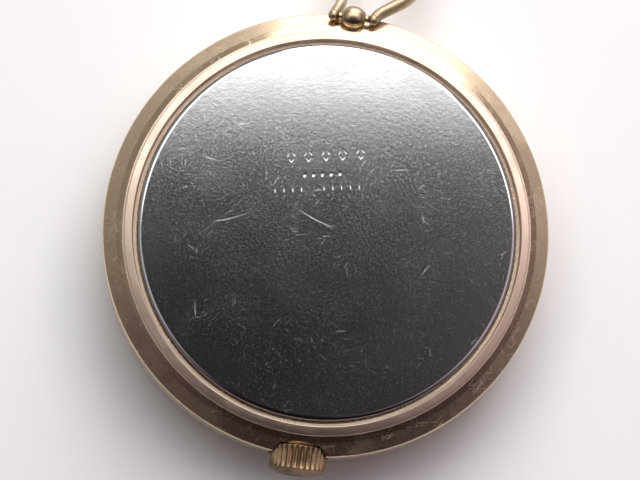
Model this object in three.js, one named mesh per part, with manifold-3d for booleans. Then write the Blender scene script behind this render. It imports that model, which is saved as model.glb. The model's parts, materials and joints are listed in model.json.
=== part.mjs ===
// Hand-wound pendant watch with a push-fit steel back, in millimetres, +Z up.
// It lies on the flat face of its crystal, which is z = 0, so the case back looks up.
// The bow it hangs from is towards +Y and the winding crown towards -Y.

import * as THREE from 'three';
import { mergeVertices } from 'three/addons/utils/BufferGeometryUtils.js';
import Module from 'manifold-3d';

const wasm = await Module();
wasm.setup();

// ---------------------------------------------------------------- driving dimensions

const FACETS = { large: 40, medium: 24, small: 12, pivot: 8 };
const CUT = 0.5; // how far a cutting tool runs past the face it opens

const CRYSTAL = {
  flatRadius: 14.0,
  bevelRadius: 14.9,
  bevelTop: 0.35,
  radius: 15.4,
  girdle: 0.95,
  skirtTop: 2.1,
  skirtBore: 14.75,
  coveTop: 1.35,
  innerRadius: 14.3,
  inside: 1.1,
};
const CRYSTAL_RING = { inner: 14.25, outer: 14.7, low: 1.4, top: 2.95 };
const BEZEL = {
  bore: 15.46,
  front: 0.62,
  lipRadius: 16.2,
  rollRadius: 17.1,
  rollTop: 0.75,
  shoulderRadius: 18.05,
  shoulderTop: 1.15,
  flankRadius: 18.65,
  flankTop: 1.8,
  rimRadius: 18.92,
  rimTop: 2.4,
  radius: 18.97,
  top: 3.0,
  pocketRadius: 17.47,
  pocket: 2.15,
};
const BAND = {
  bore: 15.6,
  neckRadius: 17.42,
  neckLow: 2.2,
  low: 3.05,
  widest: 19.0,
  widestTop: 6.5,
  flank: [
    [18.96, 6.7],
    [18.86, 6.86],
    [17.85, 7.76],
  ],
  edgeRadius: 17.34,
  edgeTop: 8.12,
  beadOuter: 17.22,
  beadInner: 16.45,
  beadFoot: 8.1,
  beadSteps: 4,
  grooveFloor: 7.72,
  seatRadius: 16.11,
  seatFloor: 7.2,
};
const BACK = {
  flatRadius: 15.1,
  top: 8.65,
  rollRadius: 15.7,
  rollTop: 8.56,
  shoulderRadius: 15.98,
  shoulderTop: 8.36,
  radius: 16.07,
  edge: 8.1,
  skirtLow: 7.56,
  skirtBore: 15.7,
  inside: 8.15,
};
const BACK_GASKET = { inner: 15.66, outer: 16.04, low: 7.24, top: 7.52 };
const DIAL = { radius: 15.2, bore: 0.8, low: 3.0, top: 3.38 };
const MOVEMENT_RING = { inner: 13.1, outer: 15.52, low: 3.42, top: 7.6 };
const PLATE = { radius: 13.0, low: 4.2, top: 5.3 };
const BRIDGE = { radius: 12.9, low: 6.65, top: 7.55, recess: 7.05, foot: 5.32 };
const CLAMP = { inner: 11.7, outer: 15.1, width: 2.4, low: 7.62, top: 7.8, screwAt: 14.3 };
const CLAMP_SCREW = { head: 0.75, headLow: 7.82, headTop: 8.06, shank: 0.35, tip: 6.2 };
const BRIDGE_SCREW = { head: 0.75, headLow: 7.27, headTop: 7.52, shank: 0.35, tip: 4.7 };
const SCREW_SLOT = { width: 0.2, depth: 0.12 };
const SCREW_CLEARANCE = 0.05;
const HEAD_CLEARANCE = 0.02;
const MERGE_DISTANCE = 1e-4;

const STEM = { height: 5.5, radius: 0.45, inner: 5.4, outer: 20.05, channelHalf: 0.6, channelEnd: 5.2 };
const CROWN = {
  radius: 2.4,
  root: 2.26,
  teeth: 30,
  inner: 18.15,
  knurlEnd: 20.15,
  domeRadius: 1.75,
  outer: 20.6,
  recess: 1.75,
  recessEnd: 19.5,
  bore: 0.5,
  boreEnd: 20.1,
  pocketRadius: 2.6,
  pocketFloor: 18.05,
};
const CROWN_TUBE = { inner: 0.56, outer: 1.1, start: 15.65, end: 19.42, hole: 1.14 };
const CROWN_GASKET = { inner: 1.14, outer: 1.7, start: 18.55, end: 19.05 };

const LUG = { at: [0, 18.7, 7.7], radius: 0.95, half: 1.15, hole: 0.36, solderGap: 0.03 };
const BOW = {
  wire: 0.5,
  pin: 0.3,
  pinInner: 0.35,
  pinOuter: 1.75,
  foot: 1.72,
  kneeAt: [1.75, 1.5],
  flankAt: [3.05, 5.1],
  shoulderAt: [2.9, 8.9],
  length: 11.2,
  leanDeg: 20,
  clearance: 0.12,
  steps: 30,
};

// Watch train: tooth counts and centre distances fix every module.
const TEETH = {
  barrel: 48,
  centrePinion: 8,
  centreWheel: 48,
  thirdPinion: 6,
  thirdWheel: 45,
  fourthPinion: 6,
  fourthWheel: 60,
  escapePinion: 6,
  escapeWheel: 15,
  ratchet: 32,
  crownWheel: 20,
  windingPinion: 10,
  cannon: 10,
  minuteWheel: 30,
  minutePinion: 8,
  hourWheel: 32,
  settingWheel: 12,
};
const DISTANCE = {
  centreBarrel: 6.3,
  centreThird: 5.4,
  thirdFourth: 4.42,
  fourthEscape: 3.63,
  escapePallet: 2.75,
  escapeBalance: 6.01,
  centreMinute: 2.88,
};
const BEARING_DEG = {
  barrel: 200,
  third: 85,
  fourth: -10,
  escape: -50,
  balance: -104,
  minute: -70,
  setting: -100,
  click: 102,
};
const TOOTH = { addendum: 0.8, dedendum: 1.4, tipHalf: 0.06, rootHalf: 0.5 };

const BARREL = {
  radius: 4.9,
  low: 4.65,
  top: 6.3,
  flangeLow: 5.42,
  flangeTop: 5.7,
  cavity: 4.6,
  floor: 4.9,
  coverRadius: 4.56,
  coverLow: 6.06,
  coverTop: 6.27,
  recess: 5.08,
  recessFloor: 4.6,
};
const ARBOR = {
  radius: 0.45,
  low: 4.35,
  top: 7.37,
  bore: 0.27,
  boreLow: 6.8,
  wheelBore: 0.48,
  screwShank: 0.22,
};
const MAINSPRING = {
  start: 0.62,
  end: 4.35,
  turns: 5,
  stepsPerTurn: 12,
  thickness: 0.14,
  low: 4.95,
  top: 6.0,
};
const WINDING_WHEEL = { low: 7.09, top: 7.38, clearance: 0.22 };
const WINDING_SCREW = { head: 0.95, headLow: 7.4, headTop: 7.64, shank: 0.35, tip: 6.9 };
const WINDING_PINION = {
  module: 0.255,
  bore: 0.52,
  start: 8.45,
  end: 9.5,
  slotHalf: 1.65,
  slotStart: 8.4,
  slotEnd: 9.6,
};
const SLIDING_PINION = {
  bore: 0.5,
  radius: 1.1,
  groove: 0.8,
  start: 7.35,
  grooveStart: 7.65,
  grooveEnd: 8.05,
  end: 8.35,
  slotHalf: 1.2,
  slotStart: 6.45,
  slotEnd: 8.45,
};
const CLICK = {
  reach: 6.05,
  radius: 0.75,
  low: 7.1,
  top: 7.36,
  stud: 0.3,
  studHole: 0.34,
  studLow: 6.7,
  pocket: 1.7,
  beakGap: 0.06,
  beakDeg: 9,
  beakHeight: 0.5,
  beakBackDeg: 10,
  cheek: 0.675,
  cheeksDeg: [-120, 60],
};
const CLICK_SPRING = {
  width: 0.16,
  low: 7.12,
  top: 7.34,
  from: { reach: 1.45, deg: 5 },
  to: { reach: 1.2, deg: -65 },
};

const WHEEL = {
  centreLow: 6.4,
  centreTop: 6.58,
  centrePinionLow: 5.38,
  centrePinionTop: 5.95,
  thirdLow: 5.42,
  thirdTop: 5.57,
  thirdPinionLow: 6.2,
  thirdPinionTop: 6.62,
  fourthLow: 6.0,
  fourthTop: 6.15,
  fourthPinionLow: 5.36,
  fourthPinionTop: 5.76,
  escapeLow: 5.05,
  escapeTop: 5.2,
  escapePinionLow: 5.85,
  escapePinionTop: 6.3,
  centreHub: 0.5,
  thirdHub: 0.35,
  fourthHub: 0.3,
  rim: 0.55,
  arms: 4,
  armWidth: 0.55,
  windowStart: 1.1,
};
const PIVOT = { radius: 0.17, hole: 0.21, low: 4.35, top: 7.35 };
const CENTRE_ARBOR = { radius: 0.22, hole: 0.27, low: 1.95, top: 7.35 };
const ESCAPE = {
  tip: 2.25,
  root: 1.75,
  tipPart: 0.12,
  rootPart: 0.5,
  windowStart: 0.45,
  windowEnd: 1.5,
  arms: 4,
  armWidth: 0.28,
};
const ESCAPE_RECESS = { radius: 2.6, floor: 4.9, slotHalf: 1.75, balanceRadius: 1.2 };
const PALLET = {
  low: 5.05,
  top: 5.2,
  armHalf: 1.32,
  stoneIn: 0.84,
  stoneHalf: 0.16,
  beam: 0.16,
  lever: 2.7,
  notch: 0.24,
  horn: 0.5,
  arborLow: 4.4,
  arborTop: 5.65,
};
const PALLET_BRIDGE = { half: 3.4, width: 1.3, low: 5.32, top: 5.7, screwAt: 2.9 };
const PALLET_SCREW = { head: 0.42, headLow: 5.72, headTop: 5.86, shank: 0.22, tip: 4.6 };
const BALANCE = {
  outer: 4.1,
  inner: 3.6,
  arms: 2,
  armWidth: 0.6,
  hub: 0.55,
  low: 5.9,
  top: 6.25,
  staff: 0.15,
  staffLow: 4.5,
  staffTop: 7.2,
  roller: 0.8,
  rollerLow: 5.5,
  rollerTop: 5.66,
  pin: 0.09,
  pinAt: 0.6,
  pinLow: 5.24,
};
const HAIRSPRING = {
  start: 0.42,
  end: 1.85,
  turns: 3.5,
  stepsPerTurn: 14,
  thickness: 0.08,
  low: 6.6,
  top: 6.78,
  collet: 0.48,
  colletBore: 0.2,
  stud: 0.3,
  studTop: 6.9,
};
const COCK = { low: 6.95, top: 7.6, eye: 1.35, footHalf: 2.6, footGap: 4.35, screwAt: 5.3 };
const REGULATOR = {
  inner: 0.55,
  outer: 0.95,
  low: 7.62,
  top: 7.76,
  pointer: 2.6,
  pointerDeg: 150,
  width: 0.3,
};
const CAP_JEWEL = { radius: 0.5, low: 7.62, top: 7.82 };
const OPEN_BALANCE = 4.6;

const MOTION = {
  cannonLow: 1.72,
  cannonTube: 0.42,
  cannonBore: 0.27,
  toothLow: 3.8,
  toothTop: 4.12,
  pinionLow: 3.45,
  pinionTop: 3.78,
  hourLow: 2.15,
  hourDiscLow: 3.47,
  hourDiscTop: 3.72,
  hourTube: 0.66,
  hourBore: 0.47,
  postLow: 3.45,
};
const HOUR_HAND = { bore: 0.7, hub: 1.15, length: 8.0, width: 1.15, low: 2.18, top: 2.36 };
const MINUTE_HAND = { bore: 0.46, hub: 0.9, length: 12.6, width: 0.8, low: 1.76, top: 1.92 };
const HAND_TAIL = 2.2;

const LEVER = { pivot: [2.6, -10.2], tip: [0.3, -11.2], half: 0.55, low: 3.84, top: 4.1 };
const YOKE = { pivot: [-3.0, -9.8], tip: [-0.4, -7.9], half: 0.5, low: 3.5, top: 3.72 };

// ---------------------------------------------------------------- layout on the plate

const radians = THREE.MathUtils.degToRad;

function polar([x, y], distance, degrees) {
  const angle = radians(degrees);
  return [x + distance * Math.cos(angle), y + distance * Math.sin(angle)];
}

const centreAt = [0, 0];
const barrelAt = polar(centreAt, DISTANCE.centreBarrel, BEARING_DEG.barrel);
const thirdAt = polar(centreAt, DISTANCE.centreThird, BEARING_DEG.third);
const fourthAt = polar(thirdAt, DISTANCE.thirdFourth, BEARING_DEG.fourth);
const escapeAt = polar(fourthAt, DISTANCE.fourthEscape, BEARING_DEG.escape);
const palletAt = polar(escapeAt, DISTANCE.escapePallet, BEARING_DEG.balance);
const balanceAt = polar(escapeAt, DISTANCE.escapeBalance, BEARING_DEG.balance);
const crownWheelAt = [0, -6.2];
const minuteAt = polar(centreAt, DISTANCE.centreMinute, BEARING_DEG.minute);

const moduleOf = (distance, a, b) => (2 * distance) / (a + b);
const MODULE = {
  barrel: moduleOf(DISTANCE.centreBarrel, TEETH.barrel, TEETH.centrePinion),
  centre: moduleOf(DISTANCE.centreThird, TEETH.centreWheel, TEETH.thirdPinion),
  third: moduleOf(DISTANCE.thirdFourth, TEETH.thirdWheel, TEETH.fourthPinion),
  fourth: moduleOf(DISTANCE.fourthEscape, TEETH.fourthWheel, TEETH.escapePinion),
  winding: moduleOf(
    Math.hypot(crownWheelAt[0] - barrelAt[0], crownWheelAt[1] - barrelAt[1]),
    TEETH.ratchet,
    TEETH.crownWheel,
  ),
  cannon: moduleOf(DISTANCE.centreMinute, TEETH.cannon, TEETH.minuteWheel),
  hour: moduleOf(DISTANCE.centreMinute, TEETH.minutePinion, TEETH.hourWheel),
};
const pitchRadius = (teeth, module) => (teeth * module) / 2;
const tipRadius = (teeth, module) => pitchRadius(teeth, module) + TOOTH.addendum * module;

const settingDistance = pitchRadius(TEETH.minuteWheel + TEETH.settingWheel, MODULE.cannon);
const settingAt = polar(minuteAt, settingDistance, BEARING_DEG.setting);
const clickAt = polar(barrelAt, CLICK.reach, BEARING_DEG.click);

const BARREL_BRIDGE_OUTLINE = [
  [-13.5, -13.5],
  [5.0, -13.5],
  [5.0, -8.9],
  [2.2, -5.0],
  [2.6, 2.0],
  [-3.2, 2.5],
  [-5.0, 6.0],
  [-6.2, 13.5],
  [-13.5, 13.5],
];
const TRAIN_BRIDGE_OUTLINE = [
  [-5.7, 13.5],
  [-4.6, 6.2],
  [-2.9, 2.9],
  [2.9, 2.4],
  [4.6, 0.3],
  [9.0, -0.8],
  [10.0, -1.6],
  [13.5, -1.6],
  [13.5, 13.5],
];
const BARREL_BRIDGE_FEET = [
  { at: [-8.2, 6.8], radius: 1.4 },
  { at: [-4.6, -10.2], radius: 1.4 },
  { at: [3.4, -10.9], radius: 1.2 },
];
const TRAIN_BRIDGE_FEET = [
  { at: [-3.4, 11.2], radius: 1.15 },
  { at: [8.9, 7.6], radius: 1.2 },
];
const TRAIN_BRIDGE_POST = { at: [11.6, -0.1], radius: 0.95 };
const cockScrewAt = polar(balanceAt, COCK.screwAt, angleOf(centreAt, balanceAt));
const palletScrewAt = polar(palletAt, PALLET_BRIDGE.screwAt, BEARING_DEG.balance - 90);
const CLAMPS_DEG = { left: 165, right: 30 };

// ---------------------------------------------------------------- finishes

const FINISH = {
  gilt: { color: 0xb59658, roughness: 0.28, metalness: 1 },
  giltPolished: { color: 0xc6a668, roughness: 0.16, metalness: 1 },
  brushedSteel: { color: 0x8d8d90, roughness: 0.36, metalness: 1 },
  steel: { color: 0xa6a8ac, roughness: 0.25, metalness: 1 },
  bluedSteel: { color: 0x26365c, roughness: 0.25, metalness: 1 },
  springSteel: { color: 0x77797f, roughness: 0.3, metalness: 1 },
  nickel: { color: 0xb9b7ae, roughness: 0.34, metalness: 1 },
  brass: { color: 0xc09a4e, roughness: 0.32, metalness: 1 },
  crystal: { color: 0xdde4e6, roughness: 0.06, metalness: 0 },
  dial: { color: 0xd9d3c2, roughness: 0.45, metalness: 0.35 },
  rubber: { color: 0x1c1b1a, roughness: 0.8, metalness: 0 },
  ruby: { color: 0x9c1f3d, roughness: 0.12, metalness: 0 },
};

// ---------------------------------------------------------------- shape helpers

function angleOf(from, to) {
  return THREE.MathUtils.radToDeg(Math.atan2(to[1] - from[1], to[0] - from[0]));
}

function toManifold(geometry) {
  const plain = geometry.index ? geometry.toNonIndexed() : geometry.clone();
  plain.deleteAttribute('normal');
  plain.deleteAttribute('uv');
  const merged = mergeVertices(plain, MERGE_DISTANCE);
  const made = new wasm.Manifold(new wasm.Mesh({
    numProp: 3,
    vertProperties: new Float32Array(merged.attributes.position.array),
    triVerts: new Uint32Array(merged.index.array),
  }));
  return made.volume() < 0 ? toManifold(turnedOut(merged)) : made;
}

function turnedOut(geometry) {
  const order = geometry.index.array;
  for (let i = 0; i < order.length; i += 3) {
    [order[i], order[i + 1]] = [order[i + 1], order[i]];
  }
  return geometry;
}

function toGeometry(manifold) {
  const mesh = manifold.getMesh();
  const geometry = new THREE.BufferGeometry();
  const positions = new Float32Array(mesh.vertProperties);
  geometry.setAttribute('position', new THREE.BufferAttribute(positions, 3));
  geometry.setIndex(new THREE.BufferAttribute(new Uint32Array(mesh.triVerts), 1));
  geometry.computeVertexNormals();
  return geometry;
}

const joined = (...solids) => solids.reduce((whole, next) => whole.add(next));
const cutAway = (base, ...tools) => tools.reduce((left, tool) => left.subtract(tool), base);

// A body of revolution about Z, from a half section of [radius, height] points that
// begins and ends on the axis or closes on itself.
function turned(section, facets) {
  const points = section.map(([radius, height]) => new THREE.Vector2(radius, height));
  if (section[0][0] > 0) {
    points.push(points[0].clone());
  }
  return toManifold(new THREE.LatheGeometry(points, facets).rotateX(Math.PI / 2));
}

// The same about the stem's axis, with heights measured outward along -Y.
function turnedOnStem(section, facets) {
  return turned(section, facets).rotate([90, 0, 0]).translate([0, 0, STEM.height]);
}

function tube(inner, outer, low, top) {
  return [[inner, low], [outer, low], [outer, top], [inner, top]];
}

function rod(radius, low, top) {
  return [[0, low], [radius, low], [radius, top], [0, top]];
}

function cylinder([x, y], radius, low, top, facets = FACETS.small) {
  return turned(rod(radius, low, top), facets).translate([x, y, 0]);
}

function slab(shape, low, top, curveSegments = FACETS.pivot) {
  const settings = { depth: top - low, bevelEnabled: false, curveSegments };
  return toManifold(new THREE.ExtrudeGeometry(shape, settings)).translate([0, 0, low]);
}

function outline(points) {
  return new THREE.Shape(points.map(([x, y]) => new THREE.Vector2(x, y)));
}

function box([x0, y0, z0], [x1, y1, z1]) {
  const size = new THREE.BoxGeometry(x1 - x0, y1 - y0, z1 - z0);
  return toManifold(size).translate([(x0 + x1) / 2, (y0 + y1) / 2, (z0 + z1) / 2]);
}

// A bar with round ends between two points.
function link(from, to, half, low, top) {
  const length = Math.hypot(to[0] - from[0], to[1] - from[1]);
  const bar = box([0, -half, low], [length, half, top])
    .rotate([0, 0, angleOf(from, to)])
    .translate([from[0], from[1], 0]);
  return joined(bar, cylinder(from, half, low, top), cylinder(to, half, low, top));
}

function ring(count, radiusAt) {
  const points = [];
  for (let i = 0; i < count; i += 1) {
    const [radius, angle] = radiusAt(i);
    points.push([radius * Math.cos(angle), radius * Math.sin(angle)]);
  }
  return points;
}

// A spur gear's outline, with one tooth centred on the angle given.
function gearOutline(teeth, module, phase) {
  const pitch = (2 * Math.PI) / teeth;
  const tip = tipRadius(teeth, module);
  const root = pitchRadius(teeth, module) - TOOTH.dedendum * module;
  const corners = [
    [root, -TOOTH.rootHalf],
    [tip, -TOOTH.tipHalf],
    [tip, TOOTH.tipHalf],
  ];
  return outline(ring(teeth * corners.length, (i) => {
    const [radius, part] = corners[i % corners.length];
    const tooth = Math.floor(i / corners.length);
    return [radius, phase + (tooth + part) * pitch];
  }));
}

function gear([x, y], teeth, module, phase, low, top) {
  return slab(gearOutline(teeth, module, phase), low, top).translate([x, y, 0]);
}

// The phase that puts a gear's gap where the neighbour's tooth is.
function meshed(phase, teeth, from, to, otherTeeth) {
  const bearing = radians(angleOf(from, to));
  const pastTooth = ((bearing - phase) * teeth) / (2 * Math.PI);
  const otherPitch = (2 * Math.PI) / otherTeeth;
  return bearing + Math.PI - otherPitch * (0.5 - pastTooth);
}

// Windows between a wheel's rim and hub, which leave its arms.
function windows([x, y], hub, rim, arms, armWidth, low, top) {
  const tools = [];
  const steps = 4;
  for (let arm = 0; arm < arms; arm += 1) {
    const start = (2 * Math.PI * arm) / arms;
    const span = (2 * Math.PI) / arms;
    const points = [];
    for (const [radius, forward] of [[hub, true], [rim, false]]) {
      const inset = Math.asin(armWidth / 2 / radius);
      for (let i = 0; i <= steps; i += 1) {
        const part = forward ? i / steps : 1 - i / steps;
        const angle = start + inset + (span - 2 * inset) * part;
        points.push([radius * Math.cos(angle), radius * Math.sin(angle)]);
      }
    }
    tools.push(slab(outline(points), low - CUT, top + CUT).translate([x, y, 0]));
  }
  return joined(...tools);
}

function spiral({ start, end, turns, stepsPerTurn, thickness }) {
  const count = Math.round(turns * stepsPerTurn);
  const inner = [];
  const outer = [];
  for (let i = 0; i <= count; i += 1) {
    const angle = (2 * Math.PI * i) / stepsPerTurn;
    const radius = start + ((end - start) * i) / count;
    inner.push([radius * Math.cos(angle), radius * Math.sin(angle)]);
    const far = radius + thickness;
    outer.unshift([far * Math.cos(angle), far * Math.sin(angle)]);
  }
  return outline([...inner, ...outer]);
}

function screw([x, y], size, shank = size.shank) {
  const body = turned([
    [0, size.tip],
    [shank, size.tip],
    [shank, size.headLow],
    [size.head, size.headLow],
    [size.head, size.headTop],
    [0, size.headTop],
  ], FACETS.small);
  const half = SCREW_SLOT.width / 2;
  const slot = box(
    [-size.head - CUT, -half, size.headTop - SCREW_SLOT.depth],
    [size.head + CUT, half, size.headTop + CUT],
  );
  return cutAway(body, slot).translate([x, y, 0]);
}

function screwHole({ at, size, low }) {
  const hole = cylinder(at, size.shank + SCREW_CLEARANCE, low, size.headTop + CUT);
  const sink = cylinder(
    at,
    size.head + SCREW_CLEARANCE,
    size.headLow - HEAD_CLEARANCE,
    size.headTop + CUT,
  );
  return joined(hole, sink);
}

// ---------------------------------------------------------------- assembly

const watch = new THREE.Group();
watch.name = 'pendant_watch';

function add(name, solid, finish) {
  const material = new THREE.MeshStandardMaterial(FINISH[finish]);
  material.name = finish;
  const mesh = new THREE.Mesh(toGeometry(solid), material);
  mesh.name = name;
  watch.add(mesh);
}

// ---- case

function beadSection() {
  const radius = (BAND.beadOuter - BAND.beadInner) / 2;
  const middle = (BAND.beadOuter + BAND.beadInner) / 2;
  const points = [];
  for (let i = 0; i <= BAND.beadSteps; i += 1) {
    const angle = Math.PI * (1 - i / BAND.beadSteps);
    points.push([middle + radius * Math.cos(angle), BAND.beadFoot + radius * Math.sin(angle)]);
  }
  return points;
}

const bandSection = [
  [BAND.bore, BAND.neckLow],
  [BAND.bore, BAND.seatFloor],
  [BAND.seatRadius, BAND.seatFloor],
  [BAND.seatRadius, BAND.grooveFloor],
  [BAND.beadInner, BAND.grooveFloor],
  ...beadSection(),
  [BAND.edgeRadius, BAND.edgeTop],
  ...[...BAND.flank].reverse(),
  [BAND.widest, BAND.widestTop],
  [BAND.widest, BAND.low],
  [BAND.neckRadius, BAND.low],
  [BAND.neckRadius, BAND.neckLow],
];
const band = turned(bandSection, FACETS.large);
const tubeHole = turnedOnStem(
  rod(CROWN_TUBE.hole, MOVEMENT_RING.outer - CUT, BAND.widest + CUT),
  FACETS.small,
);
const crownPocket = turnedOnStem(
  rod(CROWN.pocketRadius, CROWN.pocketFloor, BAND.widest + CUT),
  FACETS.medium,
);
add('case_band', cutAway(band, tubeHole, crownPocket), 'gilt');

add('bezel', turned([
  [BEZEL.bore, BEZEL.front],
  [BEZEL.lipRadius, BEZEL.front],
  [BEZEL.rollRadius, BEZEL.rollTop],
  [BEZEL.shoulderRadius, BEZEL.shoulderTop],
  [BEZEL.flankRadius, BEZEL.flankTop],
  [BEZEL.rimRadius, BEZEL.rimTop],
  [BEZEL.radius, BEZEL.top],
  [BEZEL.pocketRadius, BEZEL.top],
  [BEZEL.pocketRadius, BEZEL.pocket],
  [BEZEL.bore, BEZEL.pocket],
], FACETS.large), 'giltPolished');

add('crystal', turned([
  [0, 0],
  [CRYSTAL.flatRadius, 0],
  [CRYSTAL.bevelRadius, CRYSTAL.bevelTop],
  [CRYSTAL.radius, CRYSTAL.girdle],
  [CRYSTAL.radius, CRYSTAL.skirtTop],
  [CRYSTAL.skirtBore, CRYSTAL.skirtTop],
  [CRYSTAL.skirtBore, CRYSTAL.coveTop],
  [CRYSTAL.innerRadius, CRYSTAL.inside],
  [0, CRYSTAL.inside],
], FACETS.large), 'crystal');

add('crystal_ring', turned(
  tube(CRYSTAL_RING.inner, CRYSTAL_RING.outer, CRYSTAL_RING.low, CRYSTAL_RING.top),
  FACETS.large,
), 'giltPolished');

add('case_back', turned([
  [0, BACK.inside],
  [BACK.skirtBore, BACK.inside],
  [BACK.skirtBore, BACK.skirtLow],
  [BACK.radius, BACK.skirtLow],
  [BACK.radius, BACK.edge],
  [BACK.shoulderRadius, BACK.shoulderTop],
  [BACK.rollRadius, BACK.rollTop],
  [BACK.flatRadius, BACK.top],
  [0, BACK.top],
], FACETS.large), 'brushedSteel');

add('back_gasket', turned(
  tube(BACK_GASKET.inner, BACK_GASKET.outer, BACK_GASKET.low, BACK_GASKET.top),
  FACETS.large,
), 'rubber');

// ---- bow and the lug that carries it

const solderRoom = turned(
  bandSection.map(([radius, height]) => [
    radius > BAND.beadInner ? radius + LUG.solderGap : radius,
    height > BAND.grooveFloor ? height + LUG.solderGap : height,
  ]),
  FACETS.large,
);
const lugHole = turned(rod(LUG.hole, -2 * LUG.half, 2 * LUG.half), FACETS.small)
  .rotate([0, 90, 0])
  .translate(LUG.at);
const lugBall = toManifold(new THREE.SphereGeometry(LUG.radius, FACETS.small, FACETS.pivot))
  .scale([LUG.half / LUG.radius, 1, 1])
  .translate(LUG.at);
add('bow_lug', cutAway(lugBall, solderRoom, lugHole), 'gilt');

// The bow is drawn flat, then leant to one side and let down until its far end lies on z = 0.
function bowSolid() {
  const side = [
    [BOW.foot, 0],
    BOW.kneeAt,
    BOW.flankAt,
    BOW.shoulderAt,
  ];
  const lean = radians(BOW.leanDeg);
  const leant = ([x, y]) => {
    const part = lean * Math.min(1, y / BOW.kneeAt[1]);
    return new THREE.Vector3(
      x * Math.cos(part) + y * Math.sin(part),
      y * Math.cos(part) - x * Math.sin(part),
      0,
    );
  };
  const path = new THREE.CatmullRomCurve3([
    ...side.map(([x, y]) => leant([-x, y])),
    leant([0, BOW.length - BOW.wire]),
    ...[...side].reverse().map(leant),
  ]);
  const wire = toManifold(new THREE.ExtrudeGeometry(
    new THREE.Shape().absarc(0, 0, BOW.wire, 0, 2 * Math.PI),
    { steps: BOW.steps, extrudePath: path, curveSegments: FACETS.pivot / 2 },
  ));
  const pin = turned(rod(BOW.pin, BOW.pinInner, BOW.pinOuter), FACETS.small);
  const drop = LUG.at[2] - BOW.wire - BOW.clearance;
  const reach = (BOW.length - BOW.wire) * Math.cos(lean);
  const down = THREE.MathUtils.radToDeg(Math.asin(drop / reach));
  return joined(wire, pin.rotate([0, 90, 0]), pin.rotate([0, -90, 0]))
    .rotate([-down, 0, 0])
    .translate(LUG.at);
}
add('bow', bowSolid(), 'gilt');

// ---- crown, stem and keyless work

add('crown_tube', turnedOnStem(
  tube(CROWN_TUBE.inner, CROWN_TUBE.outer, CROWN_TUBE.start, CROWN_TUBE.end),
  FACETS.medium,
), 'nickel');

const knurl = outline(ring(CROWN.teeth * 2, (i) => [
  i % 2 ? CROWN.root : CROWN.radius,
  (Math.PI * i) / CROWN.teeth,
]));
const crownBlank = slab(knurl, CROWN.inner, CROWN.knurlEnd);
const crownDome = turned([
  [0, CROWN.inner],
  [CROWN.root, CROWN.inner],
  [CROWN.root, CROWN.knurlEnd],
  [CROWN.domeRadius, CROWN.outer],
  [0, CROWN.outer],
], CROWN.teeth);
const crownSolid = cutAway(
  joined(crownBlank, crownDome),
  turned(rod(CROWN.recess, CROWN.inner - CUT, CROWN.recessEnd), FACETS.medium),
  turned(rod(CROWN.bore, CROWN.inner, CROWN.boreEnd), FACETS.small),
);
add('crown', crownSolid.rotate([90, 0, 0]).translate([0, 0, STEM.height]), 'gilt');

add('crown_gasket', turnedOnStem(
  tube(CROWN_GASKET.inner, CROWN_GASKET.outer, CROWN_GASKET.start, CROWN_GASKET.end),
  FACETS.medium,
), 'rubber');

add('stem', turnedOnStem(rod(STEM.radius, STEM.inner, STEM.outer), FACETS.small), 'steel');

const windingPinion = cutAway(
  slab(
    gearOutline(TEETH.windingPinion, WINDING_PINION.module, 0),
    WINDING_PINION.start,
    WINDING_PINION.end,
  ),
  turned(
    rod(WINDING_PINION.bore, WINDING_PINION.start - CUT, WINDING_PINION.end + CUT),
    FACETS.small,
  ),
);
add(
  'winding_pinion',
  windingPinion.rotate([90, 0, 0]).translate([0, 0, STEM.height]),
  'steel',
);

add('sliding_pinion', turnedOnStem([
  [SLIDING_PINION.bore, SLIDING_PINION.start],
  [SLIDING_PINION.radius, SLIDING_PINION.start],
  [SLIDING_PINION.radius, SLIDING_PINION.grooveStart],
  [SLIDING_PINION.groove, SLIDING_PINION.grooveStart],
  [SLIDING_PINION.groove, SLIDING_PINION.grooveEnd],
  [SLIDING_PINION.radius, SLIDING_PINION.grooveEnd],
  [SLIDING_PINION.radius, SLIDING_PINION.end],
  [SLIDING_PINION.bore, SLIDING_PINION.end],
], FACETS.small), 'steel');

for (const [name, part] of [['setting_lever', LEVER], ['yoke', YOKE]]) {
  add(name, link(part.pivot, part.tip, part.half, part.low, part.top), 'steel');
}

// ---- movement ring, dial and hands

const stemPassage = turnedOnStem(
  rod(CROWN_TUBE.hole, MOVEMENT_RING.inner - CUT, MOVEMENT_RING.outer + CUT),
  FACETS.small,
);
const clampScrews = Object.entries(CLAMPS_DEG).map(([side, degrees]) => ({
  side,
  degrees,
  at: polar(centreAt, CLAMP.screwAt, degrees),
}));
const clampHoles = clampScrews.map(({ at }) => cylinder(
  at,
  CLAMP_SCREW.shank + SCREW_CLEARANCE,
  CLAMP_SCREW.tip - CUT,
  CLAMP_SCREW.headTop,
));
const movementRing = turned(
  tube(MOVEMENT_RING.inner, MOVEMENT_RING.outer, MOVEMENT_RING.low, MOVEMENT_RING.top),
  FACETS.large,
);
add('movement_ring', cutAway(movementRing, stemPassage, ...clampHoles), 'nickel');

clampScrews.forEach(({ side, degrees, at }, i) => {
  const strip = box(
    [CLAMP.inner, -CLAMP.width / 2, CLAMP.low],
    [CLAMP.outer, CLAMP.width / 2, CLAMP.top],
  ).rotate([0, 0, degrees]);
  add(`clamp_${side}`, cutAway(strip, clampHoles[i]), 'steel');
  add(`clamp_screw_${side}`, screw(at, CLAMP_SCREW), 'bluedSteel');
});

add('dial', turned(tube(DIAL.bore, DIAL.radius, DIAL.low, DIAL.top), FACETS.large), 'dial');

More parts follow.
